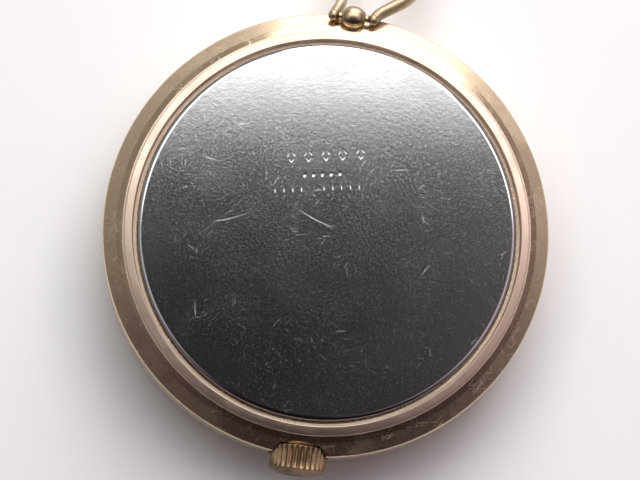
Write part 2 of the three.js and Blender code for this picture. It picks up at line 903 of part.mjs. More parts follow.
// A hand that points to the crown, with a round boss and a short tail.
function hand(size) {
  const half = size.width / 2;
  const blade = slab(outline([
    [-half / 2, 0],
    [-half, -size.length / 2],
    [0, -size.length],
    [half, -size.length / 2],
    [half / 2, 0],
    [half / 2, HAND_TAIL],
    [-half / 2, HAND_TAIL],
  ]), size.low, size.top);
  const boss = cylinder(centreAt, size.hub, size.low, size.top);
  const bore = cylinder(centreAt, size.bore, size.low - CUT, size.top + CUT);
  return cutAway(joined(blade, boss), bore);
}
add('hour_hand', hand(HOUR_HAND), 'giltPolished');
add('minute_hand', hand(MINUTE_HAND), 'giltPolished');

// ---- motion work, under the dial

const southward = -Math.PI / 2;
const minutePhase = meshed(southward, TEETH.cannon, centreAt, minuteAt, TEETH.minuteWheel);
const hourPhase = meshed(0, TEETH.minutePinion, minuteAt, centreAt, TEETH.hourWheel);
const settingPhase = meshed(
  minutePhase,
  TEETH.minuteWheel,
  minuteAt,
  settingAt,
  TEETH.settingWheel,
);

add('cannon_pinion', cutAway(
  joined(
    gear(centreAt, TEETH.cannon, MODULE.cannon, southward, MOTION.toothLow, MOTION.toothTop),
    cylinder(centreAt, MOTION.cannonTube, MOTION.cannonLow, MOTION.toothTop),
  ),
  cylinder(centreAt, MOTION.cannonBore, MOTION.cannonLow - CUT, MOTION.toothTop + CUT),
), 'steel');

add('minute_wheel', cutAway(
  joined(
    gear(
      minuteAt,
      TEETH.minuteWheel,
      MODULE.cannon,
      minutePhase,
      MOTION.toothLow,
      MOTION.toothTop,
    ),
    gear(minuteAt, TEETH.minutePinion, MODULE.hour, 0, MOTION.pinionLow, MOTION.toothTop),
  ),
  cylinder(minuteAt, PIVOT.hole, MOTION.pinionLow - CUT, MOTION.toothTop + CUT),
), 'brass');

add('hour_wheel', cutAway(
  joined(
    gear(
      centreAt,
      TEETH.hourWheel,
      MODULE.hour,
      hourPhase,
      MOTION.hourDiscLow,
      MOTION.hourDiscTop,
    ),
    cylinder(centreAt, MOTION.hourTube, MOTION.hourLow, MOTION.hourDiscTop),
  ),
  cylinder(centreAt, MOTION.hourBore, MOTION.hourLow - CUT, MOTION.hourDiscTop + CUT),
), 'brass');

add('setting_wheel', cutAway(
  gear(
    settingAt,
    TEETH.settingWheel,
    MODULE.cannon,
    settingPhase,
    MOTION.toothLow,
    MOTION.toothTop,
  ),
  cylinder(settingAt, PIVOT.hole, MOTION.toothLow - CUT, MOTION.toothTop + CUT),
), 'steel');

// ---- main plate, with the posts the motion work turns on

const bridgeScrews = [...BARREL_BRIDGE_FEET, ...TRAIN_BRIDGE_FEET].map(({ at }) => ({
  at,
  size: BRIDGE_SCREW,
  low: PLATE.low - CUT,
}));
const cockScrew = { at: cockScrewAt, size: BRIDGE_SCREW, low: PLATE.low - CUT };
const palletScrew = { at: palletScrewAt, size: PALLET_SCREW, low: PLATE.low - CUT };

const pivotHole = (at, radius = PIVOT.hole) => cylinder(
  at,
  radius,
  PLATE.low - CUT,
  COCK.top + CUT,
  FACETS.pivot,
);
const pivotHoles = [
  pivotHole(centreAt, CENTRE_ARBOR.hole),
  pivotHole(thirdAt),
  pivotHole(fourthAt),
  pivotHole(escapeAt),
  pivotHole(palletAt),
  pivotHole(balanceAt),
  pivotHole(barrelAt, ARBOR.radius + SCREW_CLEARANCE),
];
const shankHole = ({ at, size }) => cylinder(
  at,
  size.shank + SCREW_CLEARANCE,
  PLATE.low - CUT,
  PLATE.top + CUT,
);
const escapementRecess = joined(
  cylinder(escapeAt, ESCAPE_RECESS.radius, ESCAPE_RECESS.floor, PLATE.top + CUT, FACETS.medium),
  cylinder(balanceAt, ESCAPE_RECESS.balanceRadius, ESCAPE_RECESS.floor, PLATE.top + CUT),
  box(
    [0, -ESCAPE_RECESS.slotHalf, ESCAPE_RECESS.floor],
    [DISTANCE.escapeBalance, ESCAPE_RECESS.slotHalf, PLATE.top + CUT],
  ).rotate([0, 0, BEARING_DEG.balance]).translate([escapeAt[0], escapeAt[1], 0]),
);
const stemChannel = box(
  [-STEM.channelHalf, -PLATE.radius - CUT, STEM.height - STEM.channelHalf],
  [STEM.channelHalf, -STEM.channelEnd, PLATE.top + CUT],
);
const windingSlot = box(
  [-WINDING_PINION.slotHalf, -WINDING_PINION.slotEnd, PLATE.low - CUT],
  [WINDING_PINION.slotHalf, -WINDING_PINION.slotStart, WINDING_WHEEL.low],
);
const slidingSlot = box(
  [-SLIDING_PINION.slotHalf, -SLIDING_PINION.slotEnd, PLATE.low - CUT],
  [SLIDING_PINION.slotHalf, -SLIDING_PINION.slotStart, PLATE.top + CUT],
);
const motionPost = (at) => cylinder(
  at,
  PIVOT.radius,
  MOTION.postLow,
  PLATE.low + CUT,
  FACETS.pivot,
);
const plateBlank = turned(rod(PLATE.radius, PLATE.low, PLATE.top), FACETS.large);
add('main_plate', joined(
  cutAway(
    plateBlank,
    cylinder(barrelAt, BARREL.recess, BARREL.recessFloor, PLATE.top + CUT, FACETS.medium),
    escapementRecess,
    stemChannel,
    windingSlot,
    slidingSlot,
    ...pivotHoles,
    ...[...bridgeScrews, cockScrew, palletScrew].map(shankHole),
  ),
  motionPost(minuteAt),
  motionPost(settingAt),
), 'nickel');

// ---- bridges

function bridge(points, feet) {
  const disc = turned(rod(BRIDGE.radius, BRIDGE.low, BRIDGE.top), FACETS.large);
  const top = disc.intersect(slab(outline(points), BRIDGE.low, BRIDGE.top));
  const footTop = BRIDGE.low + CUT;
  return joined(top, ...feet.map(({ at, radius }) => cylinder(at, radius, BRIDGE.foot, footTop)));
}
const openBalance = cylinder(
  balanceAt,
  OPEN_BALANCE,
  BRIDGE.low - CUT,
  BRIDGE.top + CUT,
  FACETS.medium,
);
const wheelRecess = (at, teeth) => cylinder(
  at,
  tipRadius(teeth, MODULE.winding) + WINDING_WHEEL.clearance,
  BRIDGE.recess,
  BRIDGE.top + CUT,
  FACETS.medium,
);
const barrelBridgeScrews = bridgeScrews.slice(0, BARREL_BRIDGE_FEET.length);
const trainBridgeScrews = bridgeScrews.slice(BARREL_BRIDGE_FEET.length);

add('barrel_bridge', cutAway(
  bridge(BARREL_BRIDGE_OUTLINE, BARREL_BRIDGE_FEET),
  openBalance,
  wheelRecess(barrelAt, TEETH.ratchet),
  wheelRecess(crownWheelAt, TEETH.crownWheel),
  cylinder(clickAt, CLICK.pocket, BRIDGE.recess, BRIDGE.top + CUT),
  cylinder(clickAt, CLICK.studHole, BRIDGE.low - CUT, BRIDGE.top),
  cylinder(crownWheelAt, WINDING_SCREW.shank + SCREW_CLEARANCE, BRIDGE.low - CUT, BRIDGE.top),
  windingSlot,
  pivotHole(centreAt, CENTRE_ARBOR.hole),
  pivotHole(barrelAt, ARBOR.radius + SCREW_CLEARANCE),
  ...barrelBridgeScrews.map(screwHole),
), 'nickel');

add('train_bridge', cutAway(
  bridge(TRAIN_BRIDGE_OUTLINE, [...TRAIN_BRIDGE_FEET, TRAIN_BRIDGE_POST]),
  openBalance,
  pivotHole(thirdAt),
  pivotHole(fourthAt),
  pivotHole(escapeAt),
  ...trainBridgeScrews.map(screwHole),
), 'nickel');

const cockBearing = angleOf(centreAt, balanceAt);
const cockReach = PLATE.radius;
const cockPlan = slab(outline([
  [0, -COCK.eye],
  [cockReach, -COCK.footHalf],
  [cockReach, COCK.footHalf],
  [0, COCK.eye],
]), BRIDGE.foot, COCK.top).rotate([0, 0, cockBearing]).translate([...balanceAt, 0]);
const cockBlank = cockPlan.intersect(
  turned(rod(BRIDGE.radius, BRIDGE.foot, COCK.top), FACETS.large),
);
add('balance_cock', cutAway(
  joined(cockBlank, cylinder(balanceAt, COCK.eye, COCK.low, COCK.top, FACETS.medium)),
  cylinder(balanceAt, COCK.footGap, BRIDGE.foot - CUT, COCK.low, FACETS.medium),
  pivotHole(balanceAt),
  screwHole(cockScrew),
), 'nickel');

const palletBar = box(
  [-PALLET_BRIDGE.width / 2, -PALLET_BRIDGE.half, PALLET_BRIDGE.low],
  [PALLET_BRIDGE.width / 2, PALLET_BRIDGE.half, PALLET_BRIDGE.top],
).rotate([0, 0, BEARING_DEG.balance]).translate([...palletAt, 0]);
add('pallet_bridge', cutAway(palletBar, pivotHole(palletAt), shankHole(palletScrew)), 'nickel');

bridgeScrews.forEach(({ at, size }, i) => {
  add(`bridge_screw_${i + 1}`, screw(at, size), 'bluedSteel');
});
add('cock_screw', screw(cockScrewAt, BRIDGE_SCREW), 'bluedSteel');
add('pallet_screw', screw(palletScrewAt, PALLET_SCREW), 'bluedSteel');

// ---- barrel and winding wheels

const centrePhase = meshed(0, TEETH.barrel, barrelAt, centreAt, TEETH.centrePinion);
add('barrel', cutAway(
  joined(
    cylinder(barrelAt, BARREL.radius, BARREL.low, BARREL.top, FACETS.medium),
    gear(barrelAt, TEETH.barrel, MODULE.barrel, 0, BARREL.flangeLow, BARREL.flangeTop),
  ),
  cylinder(barrelAt, BARREL.cavity, BARREL.floor, BARREL.top + CUT, FACETS.medium),
  pivotHole(barrelAt, ARBOR.radius + SCREW_CLEARANCE),
), 'brass');

add('barrel_cover', cutAway(
  cylinder(barrelAt, BARREL.coverRadius, BARREL.coverLow, BARREL.coverTop, FACETS.medium),
  pivotHole(barrelAt, ARBOR.radius + SCREW_CLEARANCE),
), 'brass');

add('barrel_arbor', turned([
  [0, ARBOR.low],
  [ARBOR.radius, ARBOR.low],
  [ARBOR.radius, ARBOR.top],
  [ARBOR.bore, ARBOR.top],
  [ARBOR.bore, ARBOR.boreLow],
  [0, ARBOR.boreLow],
], FACETS.small).translate([...barrelAt, 0]), 'steel');

add('mainspring', slab(
  spiral(MAINSPRING),
  MAINSPRING.low,
  MAINSPRING.top,
).translate([...barrelAt, 0]), 'springSteel');

const crownWheelPhase = meshed(
  0,
  TEETH.ratchet,
  barrelAt,
  crownWheelAt,
  TEETH.crownWheel,
);
function windingWheel(at, teeth, phase) {
  const { low, top } = WINDING_WHEEL;
  const blank = gear(at, teeth, MODULE.winding, phase, low, top);
  return cutAway(blank, cylinder(at, ARBOR.wheelBore, low - CUT, top + CUT));
}
add('ratchet_wheel', windingWheel(barrelAt, TEETH.ratchet, 0), 'steel');
add('crown_wheel', windingWheel(crownWheelAt, TEETH.crownWheel, crownWheelPhase), 'steel');
add('ratchet_screw', screw(barrelAt, WINDING_SCREW, ARBOR.screwShank), 'bluedSteel');
add('crown_wheel_screw', screw(crownWheelAt, WINDING_SCREW), 'bluedSteel');

// The click stands just off the ratchet's tooth tips.
const ratchetTip = tipRadius(TEETH.ratchet, MODULE.winding);
const beakTip = polar(barrelAt, ratchetTip + CLICK.beakGap, BEARING_DEG.click + CLICK.beakDeg);
const beakBack = polar(
  barrelAt,
  ratchetTip + CLICK.beakHeight,
  BEARING_DEG.click + CLICK.beakBackDeg,
);
const cheeks = CLICK.cheeksDeg.map((deg) => polar(clickAt, CLICK.cheek, BEARING_DEG.click + deg));
const clickBeak = slab(outline([beakTip, ...cheeks, beakBack]), CLICK.low, CLICK.top);
add('click', joined(
  cylinder(clickAt, CLICK.radius, CLICK.low, CLICK.top),
  clickBeak,
  cylinder(clickAt, CLICK.stud, CLICK.studLow, CLICK.top),
), 'steel');

const springEnd = ({ reach, deg }) => polar(clickAt, reach, BEARING_DEG.click + deg);
add('click_spring', link(
  springEnd(CLICK_SPRING.from),
  springEnd(CLICK_SPRING.to),
  CLICK_SPRING.width / 2,
  CLICK_SPRING.low,
  CLICK_SPRING.top,
), 'springSteel');

// ---- going train

function trainWheel(at, wheel, pinion, arbor) {
  const disc = gear(at, wheel.teeth, wheel.module, wheel.phase, wheel.low, wheel.top);
  const rim = pitchRadius(wheel.teeth, wheel.module) - WHEEL.rim;
  const { windowStart, arms, armWidth } = WHEEL;
  const crossed = cutAway(
    disc,
    windows(at, windowStart, rim, arms, armWidth, wheel.low, wheel.top),
  );
  const leaves = gear(at, pinion.teeth, pinion.module, pinion.phase, pinion.low, pinion.top);
  const hubLow = Math.min(wheel.low, pinion.low);
  const hubTop = Math.max(wheel.top, pinion.top);
  return joined(
    crossed,
    leaves,
    cylinder(at, arbor.hub, hubLow, hubTop),
    cylinder(at, arbor.radius, arbor.low, arbor.top, FACETS.pivot),
  );
}

add('centre_wheel', trainWheel(
  centreAt,
  {
    teeth: TEETH.centreWheel,
    module: MODULE.centre,
    phase: 0,
    low: WHEEL.centreLow,
    top: WHEEL.centreTop,
  },
  {
    teeth: TEETH.centrePinion,
    module: MODULE.barrel,
    phase: centrePhase,
    low: WHEEL.centrePinionLow,
    top: WHEEL.centrePinionTop,
  },
  { ...CENTRE_ARBOR, hub: WHEEL.centreHub },
), 'brass');

const thirdPhase = meshed(0, TEETH.centreWheel, centreAt, thirdAt, TEETH.thirdPinion);
const fourthPhase = meshed(0, TEETH.thirdWheel, thirdAt, fourthAt, TEETH.fourthPinion);
const escapePhase = meshed(0, TEETH.fourthWheel, fourthAt, escapeAt, TEETH.escapePinion);

add('third_wheel', trainWheel(
  thirdAt,
  {
    teeth: TEETH.thirdWheel,
    module: MODULE.third,
    phase: 0,
    low: WHEEL.thirdLow,
    top: WHEEL.thirdTop,
  },
  {
    teeth: TEETH.thirdPinion,
    module: MODULE.centre,
    phase: thirdPhase,
    low: WHEEL.thirdPinionLow,
    top: WHEEL.thirdPinionTop,
  },
  { ...PIVOT, hub: WHEEL.thirdHub },
), 'brass');

add('fourth_wheel', trainWheel(
  fourthAt,
  {
    teeth: TEETH.fourthWheel,
    module: MODULE.fourth,
    phase: 0,
    low: WHEEL.fourthLow,
    top: WHEEL.fourthTop,
  },
  {
    teeth: TEETH.fourthPinion,
    module: MODULE.third,
    phase: fourthPhase,
    low: WHEEL.fourthPinionLow,
    top: WHEEL.fourthPinionTop,
  },
  { ...PIVOT, hub: WHEEL.fourthHub },
), 'brass');

const escapePitch = (2 * Math.PI) / TEETH.escapeWheel;
const escapeCorners = [
  [ESCAPE.tip, 0],
  [ESCAPE.tip, ESCAPE.tipPart],
  [ESCAPE.root, ESCAPE.rootPart],
];
const escapeTeeth = outline(ring(TEETH.escapeWheel * escapeCorners.length, (i) => {
  const tooth = Math.floor(i / escapeCorners.length);
  const [radius, part] = escapeCorners[i % escapeCorners.length];
  return [radius, (tooth + part) * escapePitch];
}));
add('escape_wheel', joined(
  cutAway(
    slab(escapeTeeth, WHEEL.escapeLow, WHEEL.escapeTop).translate([...escapeAt, 0]),
    windows(
      escapeAt,
      ESCAPE.windowStart,
      ESCAPE.windowEnd,
      ESCAPE.arms,
      ESCAPE.armWidth,
      WHEEL.escapeLow,
      WHEEL.escapeTop,
    ),
  ),
  gear(
    escapeAt,
    TEETH.escapePinion,
    MODULE.fourth,
    escapePhase,
    WHEEL.escapePinionLow,
    WHEEL.escapePinionTop,
  ),
  cylinder(escapeAt, PIVOT.radius, PIVOT.low, PIVOT.top, FACETS.pivot),
), 'steel');

// ---- escapement and balance

// Drawn with the escape wheel towards +X and the balance towards -X.
function palletFork() {
  const { armHalf, stoneIn, stoneHalf, beam, lever, notch, horn } = PALLET;
  const plan = outline([
    [beam, -armHalf + stoneHalf],
    [stoneIn, -armHalf + stoneHalf],
    [stoneIn, -armHalf - stoneHalf],
    [-beam, -armHalf - stoneHalf],
    [-2 * beam, -beam],
    [-lever + horn, -beam],
    [-lever, -horn],
    [-lever, -notch],
    [-lever + notch, -notch / 2],
    [-lever + notch, notch / 2],
    [-lever, notch],
    [-lever, horn],
    [-lever + horn, beam],
    [-2 * beam, beam],
    [-beam, armHalf + stoneHalf],
    [stoneIn, armHalf + stoneHalf],
    [stoneIn, armHalf - stoneHalf],
    [beam, armHalf - stoneHalf],
  ]);
  return slab(plan, PALLET.low, PALLET.top)
    .rotate([0, 0, BEARING_DEG.balance + 180])
    .translate([...palletAt, 0]);
}
add('pallet_fork', joined(
  palletFork(),
  cylinder(palletAt, PIVOT.radius, PALLET.arborLow, PALLET.arborTop, FACETS.pivot),
), 'steel');

const balanceRim = cutAway(
  cylinder(balanceAt, BALANCE.outer, BALANCE.low, BALANCE.top, FACETS.large),
  windows(
    balanceAt,
    BALANCE.hub,
    BALANCE.inner,
    BALANCE.arms,
    BALANCE.armWidth,
    BALANCE.low,
    BALANCE.top,
  ),
);
const pinAt = polar(balanceAt, BALANCE.pinAt, BEARING_DEG.balance + 180);
add('balance_wheel', joined(
  balanceRim,
  cylinder(balanceAt, BALANCE.hub, BALANCE.low, BALANCE.top),
  cylinder(balanceAt, BALANCE.staff, BALANCE.staffLow, BALANCE.staffTop, FACETS.pivot),
  cylinder(balanceAt, BALANCE.roller, BALANCE.rollerLow, BALANCE.rollerTop),
  cylinder(pinAt, BALANCE.pin, BALANCE.pinLow, BALANCE.rollerTop, FACETS.pivot),
), 'brass');

const studAt = polar(balanceAt, HAIRSPRING.end + HAIRSPRING.stud / 2, cockBearing);
const hairspringTurn = cockBearing - 360 * (HAIRSPRING.turns % 1);
add('hairspring', joined(
  slab(
    spiral(HAIRSPRING),
    HAIRSPRING.low,
    HAIRSPRING.top,
  ).rotate([0, 0, hairspringTurn]).translate([...balanceAt, 0]),
  cutAway(
    cylinder(balanceAt, HAIRSPRING.collet, HAIRSPRING.low, HAIRSPRING.top),
    cylinder(balanceAt, HAIRSPRING.colletBore, HAIRSPRING.low - CUT, HAIRSPRING.top + CUT),
  ),
  cylinder(studAt, HAIRSPRING.stud / 2, HAIRSPRING.low, HAIRSPRING.studTop),
), 'bluedSteel');

const pointerTip = polar(balanceAt, REGULATOR.pointer, cockBearing + REGULATOR.pointerDeg);
add('regulator', cutAway(
  joined(
    cylinder(balanceAt, REGULATOR.outer, REGULATOR.low, REGULATOR.top),
    link(balanceAt, pointerTip, REGULATOR.width / 2, REGULATOR.low, REGULATOR.top),
  ),
  cylinder(balanceAt, REGULATOR.inner, REGULATOR.low - CUT, REGULATOR.top + CUT),
), 'steel');

add('cap_jewel', cylinder(
  balanceAt,
  CAP_JEWEL.radius,
  CAP_JEWEL.low,
  CAP_JEWEL.top,
), 'ruby');

export default watch;
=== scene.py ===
import json
import math
import random

import bmesh
import bpy
from mathutils import Matrix, Vector


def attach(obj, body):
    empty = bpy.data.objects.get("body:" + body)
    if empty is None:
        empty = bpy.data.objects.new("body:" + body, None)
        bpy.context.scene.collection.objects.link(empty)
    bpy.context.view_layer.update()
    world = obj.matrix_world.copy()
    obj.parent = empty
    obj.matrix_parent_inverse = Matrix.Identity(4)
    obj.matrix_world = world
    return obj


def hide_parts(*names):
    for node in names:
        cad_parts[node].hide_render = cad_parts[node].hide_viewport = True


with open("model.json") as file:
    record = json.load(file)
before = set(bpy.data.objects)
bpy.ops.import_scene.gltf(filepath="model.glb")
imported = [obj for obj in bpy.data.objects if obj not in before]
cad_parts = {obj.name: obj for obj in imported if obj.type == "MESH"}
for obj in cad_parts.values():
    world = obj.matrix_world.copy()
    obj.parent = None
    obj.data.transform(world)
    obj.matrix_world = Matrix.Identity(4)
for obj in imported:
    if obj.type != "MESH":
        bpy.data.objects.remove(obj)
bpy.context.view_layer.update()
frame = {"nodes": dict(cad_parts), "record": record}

# A pendant watch lying face down. Meshes are built in millimetres and scaled to metres at the
# end of their making, so lengths are in millimetres up to the studio at the end of the file.
MM = 0.001
RECORD = frame["record"]
BODY_OF = {
    node: body for body, nodes in RECORD["behaviour"]["bodies"].items() for node in nodes
}
SLOT_OF = {part["node"]: part["material_slot"] for part in RECORD["subparts"]}

MADE = set()  # the nodes that a piece stands for already

ROUND = 192  # facets round a large turned piece
FINE_ROUND = 256  # and round the case, which is seen from close by
FILLET_STEPS = 5
ON_AXIS = 1e-6
SHARP = math.radians(32)  # edges that turn by more than this stay crisp
LEVEL = math.cos(math.radians(0.6))
WORN_FROM = math.radians(6)
WORN_FULLY = math.radians(20)


# ---------------------------------------------------------------- mesh helpers


def new_object(name, mesh):
    piece = bpy.data.objects.new(name, mesh)
    bpy.context.scene.collection.objects.link(piece)
    return piece


def from_bmesh(name, bm):
    bmesh.ops.recalc_face_normals(bm, faces=bm.faces)
    mesh = bpy.data.meshes.new(name)
    bm.to_mesh(mesh)
    bm.free()
    return new_object(name, mesh)


def rounded(points, steps=FILLET_STEPS):
    """An outline of (x, y) corners, in which a corner (x, y, radius) becomes a fillet."""
    outline = []
    for i, point in enumerate(points):
        corner = Vector(point[:2])
        if len(point) == 2:
            outline.append(corner)
            continue
        back = Vector(points[i - 1][:2]) - corner
        ahead = Vector(points[(i + 1) % len(points)][:2]) - corner
        reach = point[2] / math.tan(back.angle(ahead) / 2)
        reach = min(reach, 0.48 * back.length, 0.48 * ahead.length)
        start = corner + back.normalized() * reach
        end = corner + ahead.normalized() * reach
        for k in range(steps + 1):
            t = k / steps
            outline.append(start.lerp(corner, t).lerp(corner.lerp(end, t), t))
    return outline


def skin(bm, rings, closed=False):
    """Faces between each ring of points and the next. On the axis, a ring is one point."""
    pairs = list(zip(rings, rings[1:]))
    if closed:
        pairs.append((rings[-1], rings[0]))
    for low, high in pairs:
        for i in range(len(low)):
            j = (i + 1) % len(low)
            corners = []
            for vert in (low[i], low[j], high[j], high[i]):
                if vert not in corners:
                    corners.append(vert)
            if len(corners) > 2:
                bm.faces.new(corners)


def ring_of(bm, radius, height, count, depth_at=lambda angle: 0.0):
    """Points round Z at one height, less a depth by angle, or one repeated on the axis."""
    if radius < ON_AXIS:
        return [bm.verts.new((0, 0, height))] * count
    ring = []
    for i in range(count):
        angle = 2 * math.pi * i / count
        here = radius - depth_at(angle)
        ring.append(bm.verts.new((here * math.cos(angle), here * math.sin(angle), height)))
    return ring


def turned(name, section, segments=ROUND, closed=True):
    """A body of revolution about Z from a half section of (radius, height) points. A closed
    section is a ring, and an open one begins and ends on the axis."""
    bm = bmesh.new()
    skin(bm, [ring_of(bm, radius, height, segments) for radius, height in section], closed)
    return from_bmesh(name, bm)


def swept(name, path, radius_at, sides=32):
    """A round bar along a path of points, closed by a flat face at each end."""
    bm = bmesh.new()
    count = len(path)
    rings = []
    normal = None
    for i, point in enumerate(path):
        ahead = path[min(i + 1, count - 1)] - path[max(i - 1, 0)]
        ahead.normalize()
        if normal is None:
            normal = ahead.orthogonal().normalized()
        normal = (normal - ahead * normal.dot(ahead)).normalized()
        side = ahead.cross(normal)
        radius = radius_at(i / (count - 1))
        rings.append([
            bm.verts.new(
                point
                + normal * (radius * math.cos(2 * math.pi * k / sides))
                + side * (radius * math.sin(2 * math.pi * k / sides))
            )
            for k in range(sides)
        ])
    skin(bm, rings)
    bm.faces.new(rings[0][::-1])
    bm.faces.new(rings[-1])
    return from_bmesh(name, bm)


def joined(first, *others):
    """Adds other objects' meshes to the first, as parts of one piece."""
    bm = bmesh.new()
    bm.from_mesh(first.data)
    for other in others:
        bm.from_mesh(other.data)
        discard(other)
    bm.to_mesh(first.data)
    bm.free()
    return first


def discard(piece):
    mesh = piece.data
    bpy.data.objects.remove(piece)
    bpy.data.meshes.remove(mesh)


def cut(piece, *tools, operation="DIFFERENCE"):
    """Cuts the tools out of the piece, or joins them to it."""
    group = bpy.data.collections.new("tools")
    for tool in tools:
        group.objects.link(tool)
    step = piece.modifiers.new("cut", "BOOLEAN")
    step.operation = operation
    step.solver = "EXACT"
    step.operand_type = "COLLECTION"
    step.collection = group
    applied(piece)
    for tool in tools:
        discard(tool)
    bpy.data.collections.remove(group)
    return piece


def applied(piece):
    graph = bpy.context.evaluated_depsgraph_get()
    mesh = bpy.data.meshes.new_from_object(piece.evaluated_get(graph))
    piece.modifiers.clear()
    old = piece.data
    piece.data = mesh
    bpy.data.meshes.remove(old)
    return piece


def moved(piece, *matrices):
    for matrix in matrices:
        piece.data.transform(matrix)
    return piece


def spin(degrees, axis):
    return Matrix.Rotation(math.radians(degrees), 4, axis)


def shift(x, y, z=0.0):
    return Matrix.Translation((x, y, z))


def polar(distance, degrees):
    angle = math.radians(degrees)
    return distance * math.cos(angle), distance * math.sin(angle)


def mark_edges(mesh):
    """Stores how sharply the surface turns at each point, for wear along edges."""
    bm = bmesh.new()
    bm.from_mesh(mesh)
    worn = [0.0] * len(bm.verts)
    for vert in bm.verts:
        turns = [edge.calc_face_angle_signed(0.0) for edge in vert.link_edges]
        most = max(turns, default=0.0)
        worn[vert.index] = min(1.0, max(0.0, (most - WORN_FROM) / (WORN_FULLY - WORN_FROM)))
    bm.free()
    attribute = mesh.attributes.new("edge", "FLOAT", "POINT")
    attribute.data.foreach_set("value", worn)


def crisp_flats(mesh):
    """Ends a level face's shading at the edge of every groove that is cut into it."""
    bm = bmesh.new()
    bm.from_mesh(mesh)
    for edge in bm.edges:
        level = [abs(face.normal.z) > LEVEL for face in edge.link_faces]
        if any(level) and not all(level):
            edge.smooth = False
    bm.to_mesh(mesh)
    bm.free()


def finished(piece, material, flats=False):
    """Scales a piece to metres, shades it smooth between sharp edges and paints it."""
    mesh = piece.data
    mark_edges(mesh)
    mesh.transform(Matrix.Scale(MM, 4))
    mesh.materials.clear()
    mesh.materials.append(material)
    mesh.shade_smooth()
    mesh.set_sharp_from_angle(angle=SHARP)
    if flats:
        crisp_flats(mesh)
    weighted = piece.modifiers.new("weighted", "WEIGHTED_NORMAL")
    weighted.keep_sharp = True
    return piece


def stands_for(piece, material, node, flats=False):
    finished(piece, material, flats)
    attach(piece, BODY_OF[node])
    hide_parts(node)
    MADE.add(node)
    return piece


def added(piece, material, body):
    finished(piece, material)
    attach(piece, body)
    return piece


# ---------------------------------------------------------------- material helpers


class Nodes:
    """Short ways to add and link the nodes of one tree."""

    def __init__(self, tree):
        self.tree = tree

    def add(self, kind, inputs=None, **settings):
        node = self.tree.nodes.new(kind)
        for key, value in settings.items():
            setattr(node, key, value)
        for key, value in (inputs or {}).items():
            socket = node.inputs[key]
            if isinstance(value, bpy.types.NodeSocket):
                self.tree.links.new(value, socket)
            else:
                socket.default_value = value
        return node

    def math(self, operation, a, b=0.0, c=0.0):
        return self.add(
            "ShaderNodeMath", {0: a, 1: b, 2: c}, operation=operation
        ).outputs[0]

    def mul(self, a, b):
        return self.math("MULTIPLY", a, b)

    def mul_add(self, a, b, c):
        return self.math("MULTIPLY_ADD", a, b, c)

    def band(self, value, low, high, to_low=0.0, to_high=1.0):
        """A smooth step from one value to another as the input goes from low to high."""
        return self.add("ShaderNodeMapRange", {
            "Value": value,
            "From Min": low,
            "From Max": high,
            "To Min": to_low,
            "To Max": to_high,
        }, interpolation_type="SMOOTHSTEP").outputs[0]

    def mix(self, share, first, second):
        """A mix of two colours. A mix node has other sockets for numbers and for vectors."""
        factor, first_colour, second_colour, mixed_colour = 0, 6, 7, 2
        first, second = (
            value if isinstance(value, bpy.types.NodeSocket) else (*value, 1)
            for value in (first, second)
        )
        return self.add(
            "ShaderNodeMix",
            {factor: share, first_colour: first, second_colour: second},
            data_type="RGBA",
        ).outputs[mixed_colour]


